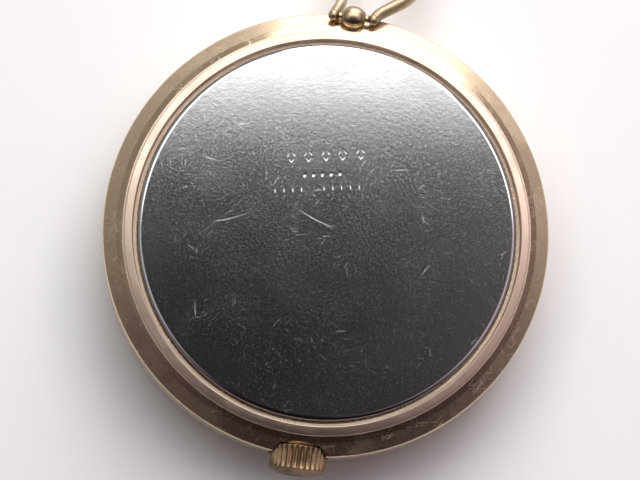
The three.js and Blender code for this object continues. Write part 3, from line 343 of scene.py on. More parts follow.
class Paint(Nodes):
    """A node material with short ways to add what metals need. Its coordinates are in mm."""

    def __init__(self, name):
        self.material = bpy.data.materials.new(name)
        self.material.use_nodes = True
        super().__init__(self.material.node_tree)
        self.shader = self.tree.nodes["Principled BSDF"]
        place = self.add("ShaderNodeTexCoord").outputs["Object"]
        self.at = self.add(
            "ShaderNodeVectorMath",
            {0: place, 1: (1 / MM,) * 3},
            operation="MULTIPLY",
        ).outputs[0]

    def stretched(self, scale, turn=0.0, away=(0.0, 0.0)):
        """Coordinates turned about Z and then scaled, so that marks run at an angle. They
        count from a point a little way off."""
        return self.add("ShaderNodeMapping", {
            "Vector": self.at,
            "Location": (*away, 0),
            "Rotation": (0, 0, math.radians(turn)),
            "Scale": tuple(1 / share for share in scale),
        }, vector_type="TEXTURE").outputs[0]

    def radius(self):
        flat = self.add(
            "ShaderNodeVectorMath", {0: self.at, 1: (1, 1, 0)}, operation="MULTIPLY"
        ).outputs[0]
        return self.add("ShaderNodeVectorMath", {0: flat}, operation="LENGTH").outputs[1]

    def round(self, across, along, up):
        """Coordinates that run across and along the turning marks of a turned piece."""
        x, y, z = self.add("ShaderNodeSeparateXYZ", {0: self.at}).outputs
        angle = self.math("ARCTAN2", y, x)
        return self.add("ShaderNodeCombineXYZ", {
            0: self.mul(self.radius(), across),
            1: self.mul(angle, along),
            2: self.mul(z, up),
        }).outputs[0]

    def noise(self, at, scale=1.0, detail=3.0, rough=0.55):
        return self.add("ShaderNodeTexNoise", {
            "Vector": at,
            "Scale": scale,
            "Detail": detail,
            "Roughness": rough,
        }).outputs[0]

    def edge(self):
        return self.add("ShaderNodeAttribute", attribute_name="edge").outputs["Fac"]

    def scratches(self, seed, length=6.0, fineness=9.0, share=0.69, turns=(12, 58, 101, 147)):
        """Thin straight marks in a few directions, broken up so that they start and stop."""
        total = None
        for i, turn in enumerate(turns):
            away = (31.0 + 7.0 * i, 23.0 * i - 40.0)
            along = self.stretched((fineness, 1 / length, 1), turn + seed, away)
            streak = self.noise(along, 1.0, 2.0, 0.4)
            line = self.band(streak, share, share + 0.025)
            total = line if total is None else self.math("MAXIMUM", total, line)
        where = self.band(self.noise(self.at, 0.35 + 0.05 * seed, 2.0), 0.45, 0.62)
        return self.mul(total, where)

    def bump(self, height, strength, distance=0.01, normal=None):
        inputs = {"Height": height, "Strength": strength, "Distance": distance * MM}
        if normal is not None:
            inputs["Normal"] = normal
        return self.add("ShaderNodeBump", inputs).outputs[0]

    def put(self, **sockets):
        for name, value in sockets.items():
            socket = self.shader.inputs[name.replace("_", " ")]
            if isinstance(value, bpy.types.NodeSocket):
                self.tree.links.new(value, socket)
            elif hasattr(value, "__len__"):
                socket.default_value = (*value, 1)
            else:
                socket.default_value = value
        return self.material


# ---------------------------------------------------------------- materials

RUBBED_BRASS = (0.70, 0.52, 0.34)
WORN_MATT = (0.47, 0.37, 0.31)
STRIPE_TURN = 24  # degrees
STRIPE_HALF = 0.95  # half the pitch of the stripes


def gilt(name, plating, tarnish, smooth, worn=0.5, grime=0.35, dull_ring=None):
    """Thin gold plating, dulled in patches and rubbed through to brass along its edges. A
    dull ring, given by its two radii, is a ridge that wear has made matt."""
    paint = Paint(name)
    patches = paint.band(paint.noise(paint.at, 0.32, 4.0), 0.42, 0.66)
    specks = paint.band(paint.noise(paint.at, 5.5, 3.0, 0.7), 0.56, 0.72)
    dull = paint.mul(paint.math("MAXIMUM", patches, specks), grime)
    colour = paint.mix(dull, plating, tarnish)
    rubbed = paint.mul(paint.edge(), paint.band(paint.noise(paint.at, 1.3, 4.0), 0.35, 0.6))
    colour = paint.mix(paint.mul(rubbed, worn), colour, RUBBED_BRASS)
    marks = paint.scratches(3, length=2.5, fineness=11.0, share=0.67)
    turning = paint.noise(paint.round(30.0, 1.2, 30.0), 1.0, 2.0)
    rough = paint.mul_add(dull, 0.28, smooth)
    rough = paint.mul_add(marks, 0.12, rough)
    if dull_ring:
        inner, outer = dull_ring
        radius = paint.radius()
        within = paint.band(radius, inner - 0.1, inner)
        matt = paint.mul(within, paint.band(radius, outer + 0.1, outer))
        rough = paint.mul_add(matt, 0.09, rough)
        colour = paint.mix(paint.mul(matt, 0.8), colour, WORN_MATT)
    normal = paint.bump(turning, 0.12, 0.006)
    normal = paint.bump(paint.mul(marks, -1.0), 0.35, 0.01, normal)
    normal = paint.bump(paint.noise(paint.at, 3.0, 4.0, 0.6), 0.10, 0.05, normal)
    return paint.put(Base_Color=colour, Metallic=1.0, Roughness=rough, Normal=normal)


def brushed_back():
    """The steel back: worn smooth, with faint clouds, fine speckle and small stray scratches."""
    paint = Paint("brushed_steel_back")
    grain = paint.noise(paint.at, 3.4, 3.0, 0.6)
    cloud = paint.band(paint.noise(paint.at, 0.22, 4.0, 0.6), 0.35, 0.70)
    speckle = paint.band(paint.noise(paint.at, 5.2, 3.0, 0.6), 0.50, 0.72)
    fine = paint.scratches(1, length=1.8, fineness=11.0, share=0.72)
    colour = paint.mix(cloud, (0.52, 0.52, 0.525), (0.46, 0.455, 0.46))
    dulled = paint.math("MAXIMUM", paint.mul(speckle, 0.5), fine)
    colour = paint.mix(paint.mul(dulled, 0.5), colour, (0.66, 0.66, 0.66))
    rough = paint.mul_add(cloud, 0.015, 0.098)
    rough = paint.mul_add(dulled, 0.11, rough)
    normal = paint.bump(grain, 0.42, 0.004)
    normal = paint.bump(paint.mul(dulled, -1.0), 0.09, 0.003, normal)
    return paint.put(Base_Color=colour, Metallic=1.0, Roughness=rough, Normal=normal)


def machined(name, light, dark, smooth, across=20.0, turning=True):
    """Plain machined or plated metal with its tool marks, in two close tones."""
    paint = Paint(name)
    cloud = paint.band(paint.noise(paint.at, 0.8, 4.0), 0.35, 0.7)
    colour = paint.mix(cloud, light, dark)
    if turning:
        marks = paint.noise(paint.round(across, 1.0, across), 1.0, 2.0)
    else:
        marks = paint.noise(paint.stretched((across, 1.2, across)), 1.0, 3.0)
    worn = paint.mul(paint.edge(), 0.5)
    colour = paint.mix(worn, colour, tuple(min(1.0, c * 1.25) for c in light))
    rough = paint.mul_add(marks, 0.16, smooth)
    normal = paint.bump(marks, 0.15, 0.006)
    return paint.put(Base_Color=colour, Metallic=1.0, Roughness=rough, Normal=normal)


def striped_nickel():
    """Nickel-plated bridges and plate, with the broad straight stripes watchmakers grind."""
    paint = Paint("striped_nickel")
    turned_to = paint.stretched((1, 1, 1), STRIPE_TURN)
    x = paint.add("ShaderNodeSeparateXYZ", {0: turned_to}).outputs[0]
    wave = paint.math("SINE", paint.mul(x, math.pi / STRIPE_HALF))
    grain = paint.noise(paint.stretched((3.0, 26.0, 3.0), STRIPE_TURN), 1.0, 3.0)
    stripe = paint.mul_add(wave, 0.5, 0.5)
    colour = paint.mix(stripe, (0.72, 0.71, 0.67), (0.56, 0.55, 0.52))
    colour = paint.mix(paint.mul(paint.edge(), 0.6), colour, (0.85, 0.84, 0.80))
    rough = paint.mul_add(stripe, 0.12, 0.20)
    rough = paint.mul_add(grain, 0.08, rough)
    normal = paint.bump(paint.mul_add(wave, 0.6, grain), 0.25, 0.01)
    return paint.put(Base_Color=colour, Metallic=1.0, Roughness=rough, Normal=normal)


def clear_crystal():
    paint = Paint("clear_crystal")
    marks = paint.scratches(2, length=5.0, fineness=10.0, share=0.69)
    haze = paint.noise(paint.at, 0.5, 3.0)
    rough = paint.mul_add(marks, 0.25, paint.mul(haze, 0.04))
    normal = paint.bump(paint.mul(marks, -1.0), 0.2, 0.006)
    colour = paint.mix(haze, (0.97, 0.985, 0.985), (0.93, 0.96, 0.95))
    return paint.put(
        Base_Color=colour,
        Roughness=rough,
        IOR=1.5,
        Transmission_Weight=1.0,
        Normal=normal,
    )


def silvered_dial():
    paint = Paint("silvered_dial")
    grain = paint.noise(paint.round(24.0, 0.8, 1.0), 1.0, 3.0)
    age = paint.band(paint.noise(paint.at, 0.25, 4.0), 0.45, 0.72)
    colour = paint.mix(age, (0.74, 0.70, 0.60), (0.67, 0.61, 0.48))
    rough = paint.mul_add(grain, 0.14, 0.34)
    normal = paint.bump(grain, 0.18, 0.008)
    return paint.put(Base_Color=colour, Metallic=0.55, Roughness=rough, Normal=normal)


def rubber():
    paint = Paint("gasket_rubber")
    grain = paint.noise(paint.at, 9.0, 4.0)
    colour = paint.mix(grain, (0.015, 0.015, 0.015), (0.045, 0.043, 0.04))
    rough = paint.mul_add(grain, 0.2, 0.55)
    return paint.put(
        Base_Color=colour, Roughness=rough, Normal=paint.bump(grain, 0.3, 0.02)
    )


def ruby():
    paint = Paint("synthetic_ruby")
    cloud = paint.noise(paint.at, 2.0, 3.0)
    colour = paint.mix(cloud, (0.62, 0.02, 0.10), (0.42, 0.01, 0.07))
    rough = paint.mul(cloud, 0.10)
    return paint.put(Base_Color=colour, Roughness=rough, IOR=1.76, Transmission_Weight=0.35)


def ink():
    paint = Paint("dial_print")
    fleck = paint.noise(paint.at, 6.0, 3.0)
    colour = paint.mix(fleck, (0.012, 0.011, 0.012), (0.05, 0.045, 0.04))
    return paint.put(Base_Color=colour, Roughness=paint.band(fleck, 0, 1, 0.35, 0.6))


BAND_GILT = gilt(
    "band_gilt", (0.74, 0.575, 0.40), (0.34, 0.23, 0.15), 0.20, dull_ring=(16.3, 17.3)
)
# The crown's plating and tarnish are painted far darker than the band's, and its tarnish covers
# more of it: this is painted shade for the shadow the crown lies in on the table.
CROWN_GILT_PAINTED_SHADE = gilt("crown_gilt_painted_shade", (0.25, 0.17, 0.10), (0.09, 0.055, 0.035), 0.38, 0.2, 0.8)
BOW_GILT = gilt("bow_gilt", (0.50, 0.40, 0.25), (0.20, 0.15, 0.09), 0.24, grime=0.7)
GILT_POLISHED = gilt("polished_gilt", (0.80, 0.63, 0.42), (0.50, 0.37, 0.24), 0.12, 0.3, 0.2)
STEEL_BACK = brushed_back()
STEEL = machined("polished_steel", (0.62, 0.63, 0.65), (0.48, 0.49, 0.51), 0.16)
SPRING = machined("spring_steel", (0.46, 0.46, 0.48), (0.32, 0.32, 0.35), 0.22)
BLUED = machined("blued_steel", (0.035, 0.075, 0.30), (0.02, 0.035, 0.16), 0.16)
BRASS = machined("train_brass", (0.80, 0.60, 0.26), (0.62, 0.43, 0.17), 0.20)
NICKEL = striped_nickel()
RING_NICKEL = machined("turned_nickel", (0.66, 0.65, 0.61), (0.54, 0.53, 0.50), 0.24, across=9.0)
CRYSTAL = clear_crystal()
DIAL_SILVER = silvered_dial()
RUBBER = rubber()
RUBY = ruby()
INK = ink()

# The finish of each material slot inside the case.
FINISH = {
    "steel": STEEL,
    "spring_steel": SPRING,
    "blued_steel": BLUED,
    "brass": BRASS,
    "nickel": NICKEL,
    "rubber": RUBBER,
}

# ---------------------------------------------------------------- case

BAND = {
    "bore": 15.6, "neck": 17.42, "neck_low": 2.2, "low": 3.05, "seat_floor": 7.2,
    "seat": 16.11, "groove_floor": 7.72, "widest": 19.0, "widest_top": 6.66,
    "bevel_low": (18.93, 6.79), "bevel_top": (17.85, 7.76), "edge": 17.34, "edge_top": 8.12,
}
BEAD = {
    "inner": 16.45, "outer": 17.22, "inner_top": 8.46, "outer_top": 8.34,
    "inner_lean": 0.06, "outer_lean": 0.03,
}
BACK = {
    "flat": 15.68, "top": 8.65, "radius": 16.07, "edge": 8.3, "skirt_low": 7.56,
    "skirt_bore": 15.7, "inside": 8.15,
}
STEM_HEIGHT = 5.5
CROWN = {
    "radius": 2.4, "root": 2.2, "flutes": 30, "inner": 18.15, "knurl_end": 20.15,
    "collar": 2.14, "collar_end": 20.27, "dome": 1.75, "dome_start": 20.5, "outer": 20.6,
    "recess": 1.75, "recess_end": 19.5, "tube_hole": 1.14, "pocket": 2.6, "pocket_floor": 18.05,
    "knurl_inset": 0.02, "fade_power": 6, "crest_power": 1.4, "facets": 12, "station": 0.28,
    "dome_share": 0.55, "dome_rise": 0.01,
}
BEZEL = {
    "inner": 15.46, "front": 0.62, "swell_at": (16.2, 3.0), "swell": (2.77, 2.38),
    "outer": 18.97, "back": 3.0, "recess": 17.47, "recess_back": 2.15,
}
CRYSTAL_FORM = {
    "flat": 14.0, "shoulder": (14.9, 0.35), "radius": 15.4, "side": 0.95, "back": 2.1,
    "bore": 14.75, "bore_top": 1.35, "inside": 14.3, "thick": 1.1,
}
TENSION_RING = {"inner": 14.25, "outer": 14.7, "low": 1.4, "top": 2.95, "fillet": 0.08}
GASKET = {"inner": 15.66, "outer": 16.04, "low": 7.24, "top": 7.52, "fillet": 0.12}
TUBE = {"inner": 0.56, "outer": 1.1, "low": 15.65, "top": 19.42, "fillet": 0.06}
LUG_AT = Vector((0.0, 18.7, 7.7))
LUG = {
    "radius": 0.95, "half": 1.15, "hole": 0.36, "mouth": 0.62, "mouth_start": 0.98,
    "mouth_end": 1.12, "past": 1.6, "bevel_deg": -42, "foot": 1.07, "foot_low": -1.3,
    "foot_neck": 0.85, "foot_neck_at": -0.42, "foot_top": -0.3,
}


def arc(centre, radii, start, end, steps):
    """Points on an ellipse's arc, between two angles in degrees."""
    return [
        (
            centre[0] + radii[0] * math.cos(math.radians(start + (end - start) * i / steps)),
            centre[1] + radii[1] * math.sin(math.radians(start + (end - start) * i / steps)),
        )
        for i in range(steps + 1)
    ]


def along_stem(piece):
    """Turns a piece made about Z so that it points out along the stem, towards -Y."""
    return moved(piece, spin(90, "X"), shift(0, 0, STEM_HEIGHT))


def rod(radius, low, top, segments=64):
    return turned("tool", [(0, low), (radius, low), (radius, top), (0, top)], segments, False)


def case_band():
    section = [
        (BAND["bore"], BAND["neck_low"]),
        (BAND["bore"], BAND["seat_floor"]),
        (BAND["seat"], BAND["seat_floor"]),
        (BAND["seat"], BAND["groove_floor"], 0.05),
        (BEAD["inner"], BAND["groove_floor"], 0.05),
        (BEAD["inner"] + BEAD["inner_lean"], BEAD["inner_top"], 0.07),
        (BEAD["outer"] - BEAD["outer_lean"], BEAD["outer_top"], 0.07),
        (BEAD["outer"], BAND["edge_top"], 0.02),
        (BAND["edge"], BAND["edge_top"], 0.08),
        (*BAND["bevel_top"], 0.5),
        (*BAND["bevel_low"], 0.05),
        (BAND["widest"], BAND["widest_top"], 0.1),
        (BAND["widest"], BAND["low"], 0.06),
        (BAND["neck"], BAND["low"]),
        (BAND["neck"], BAND["neck_low"]),
    ]
    band = turned("band", rounded(section), FINE_ROUND)
    pocket = along_stem(rod(CROWN["pocket"], CROWN["pocket_floor"], BAND["widest"] + 1, 96))
    tube_hole = along_stem(rod(CROWN["tube_hole"], BAND["bore"] - 1, BAND["widest"]))
    return cut(band, pocket, tube_hole)


MARK_ROWS = {
    "turn": 10.0,
    "lozenges": {"at": (-0.9, 6.5), "offsets": (-2.95, -1.5, 0.0, 1.42, 2.95)},
    "dimples": {"at": (-0.9, 4.85), "offsets": (-1.6, -0.85, -0.1, 0.65, 1.4)},
    "bars": {
        "at": (-0.9, 3.75),
        "offsets": (-4.0, -3.25, -2.5, -1.75, 0.15, 0.9, 1.65, 2.4, 3.15),
    },
}
LOZENGE = {"half": 0.34, "tall": 0.5, "wire": 0.085}
DIMPLE = {"radius": 0.3, "sunk": 0.2}
BAR = {"length": 0.66, "wire": 0.07}
GROOVE_END = 0.6  # the width of a mark's groove at its ends, as a share of its middle's
# Where each scratch starts and ends, and the radius of the groove at its middle.
SCRATCHES = [
    ((-11.2, -1.9), (-8.8, 0.5), 0.060),
    ((-9.3, 0.2), (-7.4, 1.6), 0.045),
    ((-9.9, -0.4), (-6.6, 0.9), 0.034),
    ((-2.8, 1.7), (0.3, 0.5), 0.040),
    ((-11.2, 5.2), (-9.9, 5.0), 0.060),
    ((-8.4, 4.1), (-7.1, 2.8), 0.026),
    ((5.9, 7.2), (7.8, 6.3), 0.020),
]
SCRATCH_BEND = 0.12
SCRATCH_POINT = 0.004


def groove(start, end, wire):
    """A tool for a straight groove, narrower at its ends and sunk to half its wire."""
    low, high = Vector((*start, 0)), Vector((*end, 0))
    path = [low.lerp(high, i / 6) for i in range(7)]
    swell = 1 - GROOVE_END
    return swept("mark", path, lambda t: wire * (GROOVE_END + swell * math.sin(math.pi * t)), 12)


def lozenge():
    tall, half = LOZENGE["tall"], LOZENGE["half"]
    corners = [(0, -tall), (half, 0), (0, tall), (-half, 0)]
    return [
        groove(corners[i], corners[(i + 1) % 4], LOZENGE["wire"]) for i in range(4)
    ]


def dimple():
    ball = turned("mark", arc((0, 0), (DIMPLE["radius"],) * 2, -90, 90, 12), 24, False)
    return [moved(ball, shift(0, 0, DIMPLE["sunk"]))]


def bar():
    return [groove((0, -BAR["length"] / 2), (0, BAR["length"] / 2), BAR["wire"])]


def marks_on_back():
    """Tools for the generic punch marks: lozenges, dimples and short bars in three rows."""
    turn = spin(MARK_ROWS["turn"], "Z")
    tools = []
    for kind, make in (("lozenges", lozenge), ("dimples", dimple), ("bars", bar)):
        row = MARK_ROWS[kind]
        for offset in row["offsets"]:
            place = shift(*row["at"], BACK["top"]) @ turn @ shift(offset, 0)
            tools += [moved(tool, place) for tool in make()]
    return tools


def scratches_on_back():
    """Tools for the deepest scratches: shallow, slightly bowed grooves that taper out."""
    height = BACK["top"]
    tools = []
    for start, end, wire in SCRATCHES:
        a, b = Vector((*start, height)), Vector((*end, height))
        path = [a.lerp(b, i / 10) for i in range(11)]
        bend = (b - a).cross(Vector((0, 0, 1))).normalized() * SCRATCH_BEND
        path = [p + bend * math.sin(math.pi * i / 10) for i, p in enumerate(path)]
        tools.append(swept(
            "mark",
            path,
            lambda t, wire=wire: max(SCRATCH_POINT, wire * math.sin(math.pi * t)),
            8,
        ))
    return tools


def case_back():
    section = [
        (0, BACK["inside"]),
        (BACK["skirt_bore"], BACK["inside"], 0.08),
        (BACK["skirt_bore"], BACK["skirt_low"], 0.05),
        (BACK["radius"], BACK["skirt_low"], 0.06),
        *arc(
            (BACK["flat"], BACK["edge"]),
            (BACK["radius"] - BACK["flat"], BACK["top"] - BACK["edge"]),
            0, 90, 14,
        ),
        (0, BACK["top"]),
    ]
    back = turned("back", rounded(section), FINE_ROUND, False)
    return cut(back, *marks_on_back(), *scratches_on_back())


def bezel():
    section = [
        (BEZEL["inner"], BEZEL["front"], 0.05),
        *arc(BEZEL["swell_at"], BEZEL["swell"], -90, -2, 24),
        (BEZEL["outer"], BEZEL["back"], 0.05),
        (BEZEL["recess"], BEZEL["back"]),
        (BEZEL["recess"], BEZEL["recess_back"]),
        (BEZEL["inner"], BEZEL["recess_back"]),
    ]
    return turned("bezel", rounded(section), FINE_ROUND)


def crystal():
    form = CRYSTAL_FORM
    section = [
        (0, 0),
        (form["flat"], 0, 0.5),
        (*form["shoulder"], 0.25),
        (form["radius"], form["side"], 0.1),
        (form["radius"], form["back"], 0.05),
        (form["bore"], form["back"], 0.05),
        (form["bore"], form["bore_top"], 0.2),
        (form["inside"], form["thick"], 0.3),
        (0, form["thick"]),
    ]
    return turned("crystal", rounded(section), FINE_ROUND, False)


def ring_piece(name, inner, outer, low, top, fillet, segments=FINE_ROUND):
    corners = [(inner, low), (outer, low), (outer, top), (inner, top)]
    return turned(name, rounded([(*c, fillet) for c in corners]), segments)


def build_case():
    stands_for(case_band(), BAND_GILT, "case_band")
    stands_for(case_back(), STEEL_BACK, "case_back", flats=True)
    stands_for(bezel(), GILT_POLISHED, "bezel")
    stands_for(crystal(), CRYSTAL, "crystal")
    stands_for(ring_piece("tension_ring", **TENSION_RING), GILT_POLISHED, "crystal_ring")
    stands_for(ring_piece("gasket", **GASKET), RUBBER, "back_gasket")


# ---------------------------------------------------------------- crown, bow and lug


def crown():
    """A knurled crown: the flutes are ground into a turned blank and fade at both ends."""
    c = CROWN
    profile = rounded([
        (c["recess"], c["inner"], 0.06),
        (c["radius"], c["inner"], 0.16),
        (c["radius"], c["knurl_end"], 0.18),
        (c["collar"], c["collar_end"], 0.08),
        (c["dome"], c["dome_start"], 0.3),
        (c["dome"] * c["dome_share"], c["outer"] - c["dome_rise"]),
        (0, c["outer"]),
    ])
    stations = []
    for a, b in zip(profile, profile[1:]):
        steps = max(1, round((b - a).length / c["station"]))
        stations += [a.lerp(b, k / steps) for k in range(steps)]
    stations.append(profile[-1])
    inner = [Vector((0, c["recess_end"])), Vector((c["recess"], c["recess_end"]))]
    middle = (c["inner"] + c["knurl_end"]) / 2
    half = (c["knurl_end"] - c["inner"]) / 2 - c["knurl_inset"]
    bm = bmesh.new()
    rings = []
    for radius, height in inner + stations:
        fade = max(0.0, 1 - abs((height - middle) / half) ** c["fade_power"])
        depth = (c["radius"] - c["root"]) * fade if radius > c["root"] else 0.0

        def flute(angle, depth=depth):
            return depth * abs(math.cos(c["flutes"] * angle / 2)) ** c["crest_power"]

        rings.append(ring_of(bm, radius, height, c["flutes"] * c["facets"], flute))
    skin(bm, rings)
    return along_stem(from_bmesh("crown", bm))


def bow_lug():
    """A barrel-shaped bead soldered on the bevel, drilled through for the bow's pins."""
    bead = arc((0, 0), (LUG["radius"], LUG["half"]), -90, 90, 40)
    out = turned("lug", [(0, -LUG["half"]), *bead[1:-1], (0, LUG["half"])], 96, False)
    fillet = turned("foot", rounded([
        (0, LUG["foot_low"]),
        (LUG["foot"], LUG["foot_low"]),
        (LUG["foot_neck"], LUG["foot_neck_at"], 0.2),
        (0, LUG["foot_top"]),
    ]), 96, False)
    moved(out, spin(90, "Y"), Matrix.Translation(LUG_AT))
    moved(fillet, spin(LUG["bevel_deg"], "X"), Matrix.Translation(LUG_AT))
    cut(out, fillet, operation="UNION")
    half = [
        (LUG["hole"], LUG["mouth_start"]),
        (LUG["mouth"], LUG["mouth_end"]),
        (LUG["mouth"], LUG["past"]),
        (0, LUG["past"]),
    ]
    bore = [*((radius, -along) for radius, along in reversed(half)), *half]
    hole = turned("tool", bore, 48, False)
    return cut(out, moved(hole, spin(90, "Y"), Matrix.Translation(LUG_AT)))


BOW = {
    "wire": 0.68, "foot_wire": 0.42, "pin": 0.3, "pin_inner": 0.35, "foot": 1.72,
    "half": [(1.75, 1.5), (3.05, 5.1), (2.9, 8.9)], "length": 11.2, "lean": 20.0,
    "cad_wire": 0.5, "clearance": 0.3, "swell_power": 1.2, "pin_chamfer": 0.05, "pin_end": 1.24,
    "collar": (0.40, 1.30), "ball": (0.47, 0.44),
}


def smooth_path(points, steps):
    """A centripetal Catmull-Rom curve through the points."""
    ends = [points[0] * 2 - points[1], *points, points[-1] * 2 - points[-2]]
    path = []
    for before, start, end, after in zip(ends, ends[1:], ends[2:], ends[3:]):
        a, b, c = (
            (q - p).length ** 0.5 for p, q in ((before, start), (start, end), (end, after))
        )
        leave = ((start - before) / a - (end - before) / (a + b) + (end - start) / b) * b
        arrive = ((end - start) / b - (after - start) / (b + c) + (after - end) / c) * b
        for k in range(steps):
            t = k / steps
            path.append(
                start * (2 * t**3 - 3 * t**2 + 1)
                + leave * (t**3 - 2 * t**2 + t)
                + end * (3 * t**2 - 2 * t**3)
                + arrive * (t**3 - t**2)
            )
    path.append(points[-1])
    return path


def bow():
    """The bow: tapered wire with a ball and a pin at each foot, leant to one side and let
    down until its far end lies on the table."""

    def leant(x, y):
        part = math.radians(BOW["lean"]) * min(1.0, y / BOW["half"][0][1])
        return Vector((
            x * math.cos(part) + y * math.sin(part),
            y * math.cos(part) - x * math.sin(part),
            0,
        ))

    side = [(BOW["foot"], 0.0), *BOW["half"]]
    top = BOW["length"] - BOW["cad_wire"]
    points = [
        *(leant(-x, y) for x, y in side),
        leant(0, top),
        *(leant(x, y) for x, y in reversed(side)),
    ]
    spread = BOW["wire"] - BOW["foot_wire"]
    wire = swept(
        "bow",
        smooth_path(points, 14),
        lambda t: BOW["foot_wire"] + spread * math.sin(math.pi * t) ** BOW["swell_power"],
        40,
    )
    feet = []
    for side_sign in (-1, 1):
        profile = [
            (0, BOW["pin_inner"]),
            (BOW["pin"] - BOW["pin_chamfer"], BOW["pin_inner"]),
            (BOW["pin"], BOW["pin_inner"] + BOW["pin_chamfer"]),
            (BOW["pin"], BOW["pin_end"]),
            BOW["collar"],
            *arc((0, BOW["foot"]), BOW["ball"], -62, 90, 16)[:-1],
            (0, BOW["foot"] + BOW["ball"][1]),
        ]
        foot = turned("foot", profile, 48, False)
        feet.append(moved(foot, spin(90 * side_sign, "Y")))
    cut(wire, *feet, operation="UNION")
    drop = LUG_AT.z - BOW["cad_wire"] - BOW["clearance"]
    down = math.degrees(math.asin(drop / (top * math.cos(math.radians(BOW["lean"])))))
    return moved(wire, spin(-down, "X"), Matrix.Translation(LUG_AT))


def crown_tube():
    return along_stem(ring_piece("tube", **TUBE, segments=64))


def build_outside_fittings():
    # The crown wears the darkened gilt, whose colour is painted shade.
    stands_for(crown(), CROWN_GILT_PAINTED_SHADE, "crown")
    stands_for(crown_tube(), NICKEL, "crown_tube")
    stands_for(bow_lug(), BOW_GILT, "bow_lug")
    stands_for(bow(), BOW_GILT, "bow")


# ---------------------------------------------------------------- dial and hands

DIAL_FACE = 3.0
DIAL = {"radius": 15.2, "bore": 0.8, "back": 3.38}
HOUR_MARK = {
    "inner": 10.9, "outer": 13.3, "width": 0.62, "height": 0.22, "shorter": 0.7, "side": 0.1,
    "twin_offset": 0.5, "twin_width": 0.75, "foot": 0.02,
}
MINUTE_DOT = {"at": 14.0, "radius": 0.11, "five": 0.2}
MINUTE_RINGS = [(14.42, 14.5), (13.5, 13.57)]
PRINT = (-0.012, 0.01)  # how far print stands out of the dial, and how far it is sunk in it
HOUR_HAND = {
    "length": 8.0, "tail": 2.2, "half": 0.57, "hub": 1.15, "bore": 0.7, "low": 2.18, "top": 2.36,
}
MINUTE_HAND = {
    "length": 12.6, "tail": 2.2, "half": 0.4, "hub": 0.9, "bore": 0.46, "low": 1.76, "top": 1.92,
}
# The width at the hub and the depth of the rim behind the ridge are shares of the hand's own.
HAND = {"neck": 0.45, "rim": 0.55, "tip": 0.25, "tip_back": 0.05, "tail_in": 0.1, "boss": 0.04}


def dial():
    section = [
        (DIAL["bore"], DIAL_FACE, 0.06),
        (DIAL["radius"], DIAL_FACE, 0.06),
        (DIAL["radius"], DIAL["back"]),
        (DIAL["bore"], DIAL["back"]),
    ]
    return turned("dial", rounded(section), FINE_ROUND)


def hour_mark(hour):
    """An applied baton with a ridge along it, doubled at twelve."""
    mark = HOUR_MARK
    twin = mark["twin_offset"]
    half = mark["width"] / 2 * (mark["twin_width"] if hour == 0 else 1.0)
    inner = mark["inner"] + (0.0 if hour % 3 == 0 else mark["shorter"])
    outer = mark["outer"]
    low = DIAL_FACE - mark["height"]
    corners = [(-half, inner), (half, inner), (half, outer), (-half, outer)]
    marks = []
    for offset in (-twin, twin) if hour == 0 else (0.0,):
        bm = bmesh.new()
        foot, side = (
            [bm.verts.new((x + offset, -y, level)) for x, y in corners]
            for level in (DIAL_FACE + mark["foot"], DIAL_FACE - mark["side"])
        )
        ridge = [bm.verts.new((offset, -y, low)) for y in (inner + half, outer - half)]
        bm.faces.new(foot)
        for i in range(4):
            bm.faces.new((foot[i], foot[(i + 1) % 4], side[(i + 1) % 4], side[i]))
        bm.faces.new((side[0], side[1], ridge[0]))
        bm.faces.new((side[1], side[2], ridge[1], ridge[0]))
        bm.faces.new((side[2], side[3], ridge[1]))
        bm.faces.new((side[3], side[0], ridge[0], ridge[1]))
        marks.append(moved(from_bmesh("mark", bm), spin(30 * hour, "Z")))
    return marks


def minute_track():
    """Printed dots for the minutes, between two thin rings."""
    low, top = PRINT
    dots = []
    for minute in range(60):
        radius = MINUTE_DOT["five"] if minute % 5 == 0 else MINUTE_DOT["radius"]
        at = polar(MINUTE_DOT["at"], 6 * minute - 90)
        dots.append(moved(rod(radius, low, top, 24), shift(*at, DIAL_FACE)))
    for inner, outer in MINUTE_RINGS:
        line = [(inner, low), (outer, low), (outer, top), (inner, top)]
        dots.append(moved(turned("ring", line, FINE_ROUND), shift(0, 0, DIAL_FACE)))
    return dots


def hand(name, length, tail, half, hub, bore, low, top):
    """A tapered hand with a ridge down its middle, pointing to twelve."""
    neck = half * HAND["neck"]
    blade = [
        (0.0, -length), (half, -length / 2), (neck, 0.0), (neck, tail),
        (-neck, tail), (-neck, 0.0), (-half, -length / 2),
    ]
    bm = bmesh.new()
    back = [bm.verts.new((x, y, top)) for x, y in blade]
    rim = [bm.verts.new((x, y, low + (top - low) * HAND["rim"])) for x, y in blade]
    ridge = {
        0: bm.verts.new((0, -length + HAND["tip"], low + HAND["tip_back"])),
        1: bm.verts.new((0, -length / 2, low)),
        2: bm.verts.new((0, 0, low)),
        3: bm.verts.new((0, tail - HAND["tail_in"], low)),
    }
    over = [0, 1, 2, 3, 3, 2, 1]  # the point of the ridge beside each point of the rim
    bm.faces.new(back)
    for i in range(len(blade)):
        j = (i + 1) % len(blade)
        bm.faces.new((back[i], back[j], rim[j], rim[i]))
        if over[i] == over[j]:
            bm.faces.new((rim[i], rim[j], ridge[over[i]]))
        else:
            bm.faces.new((rim[i], rim[j], ridge[over[j]], ridge[over[i]]))
    made = from_bmesh(name, bm)
    boss = turned("boss", rounded([
        (bore, low - HAND["boss"], 0.03), (hub, low, 0.06), (hub, top, 0.03), (bore, top, 0.02),
    ]), 96)
    hole = rod(bore, low - 1, top + 1)
    cut(made, hole)
    return cut(made, boss, operation="UNION")


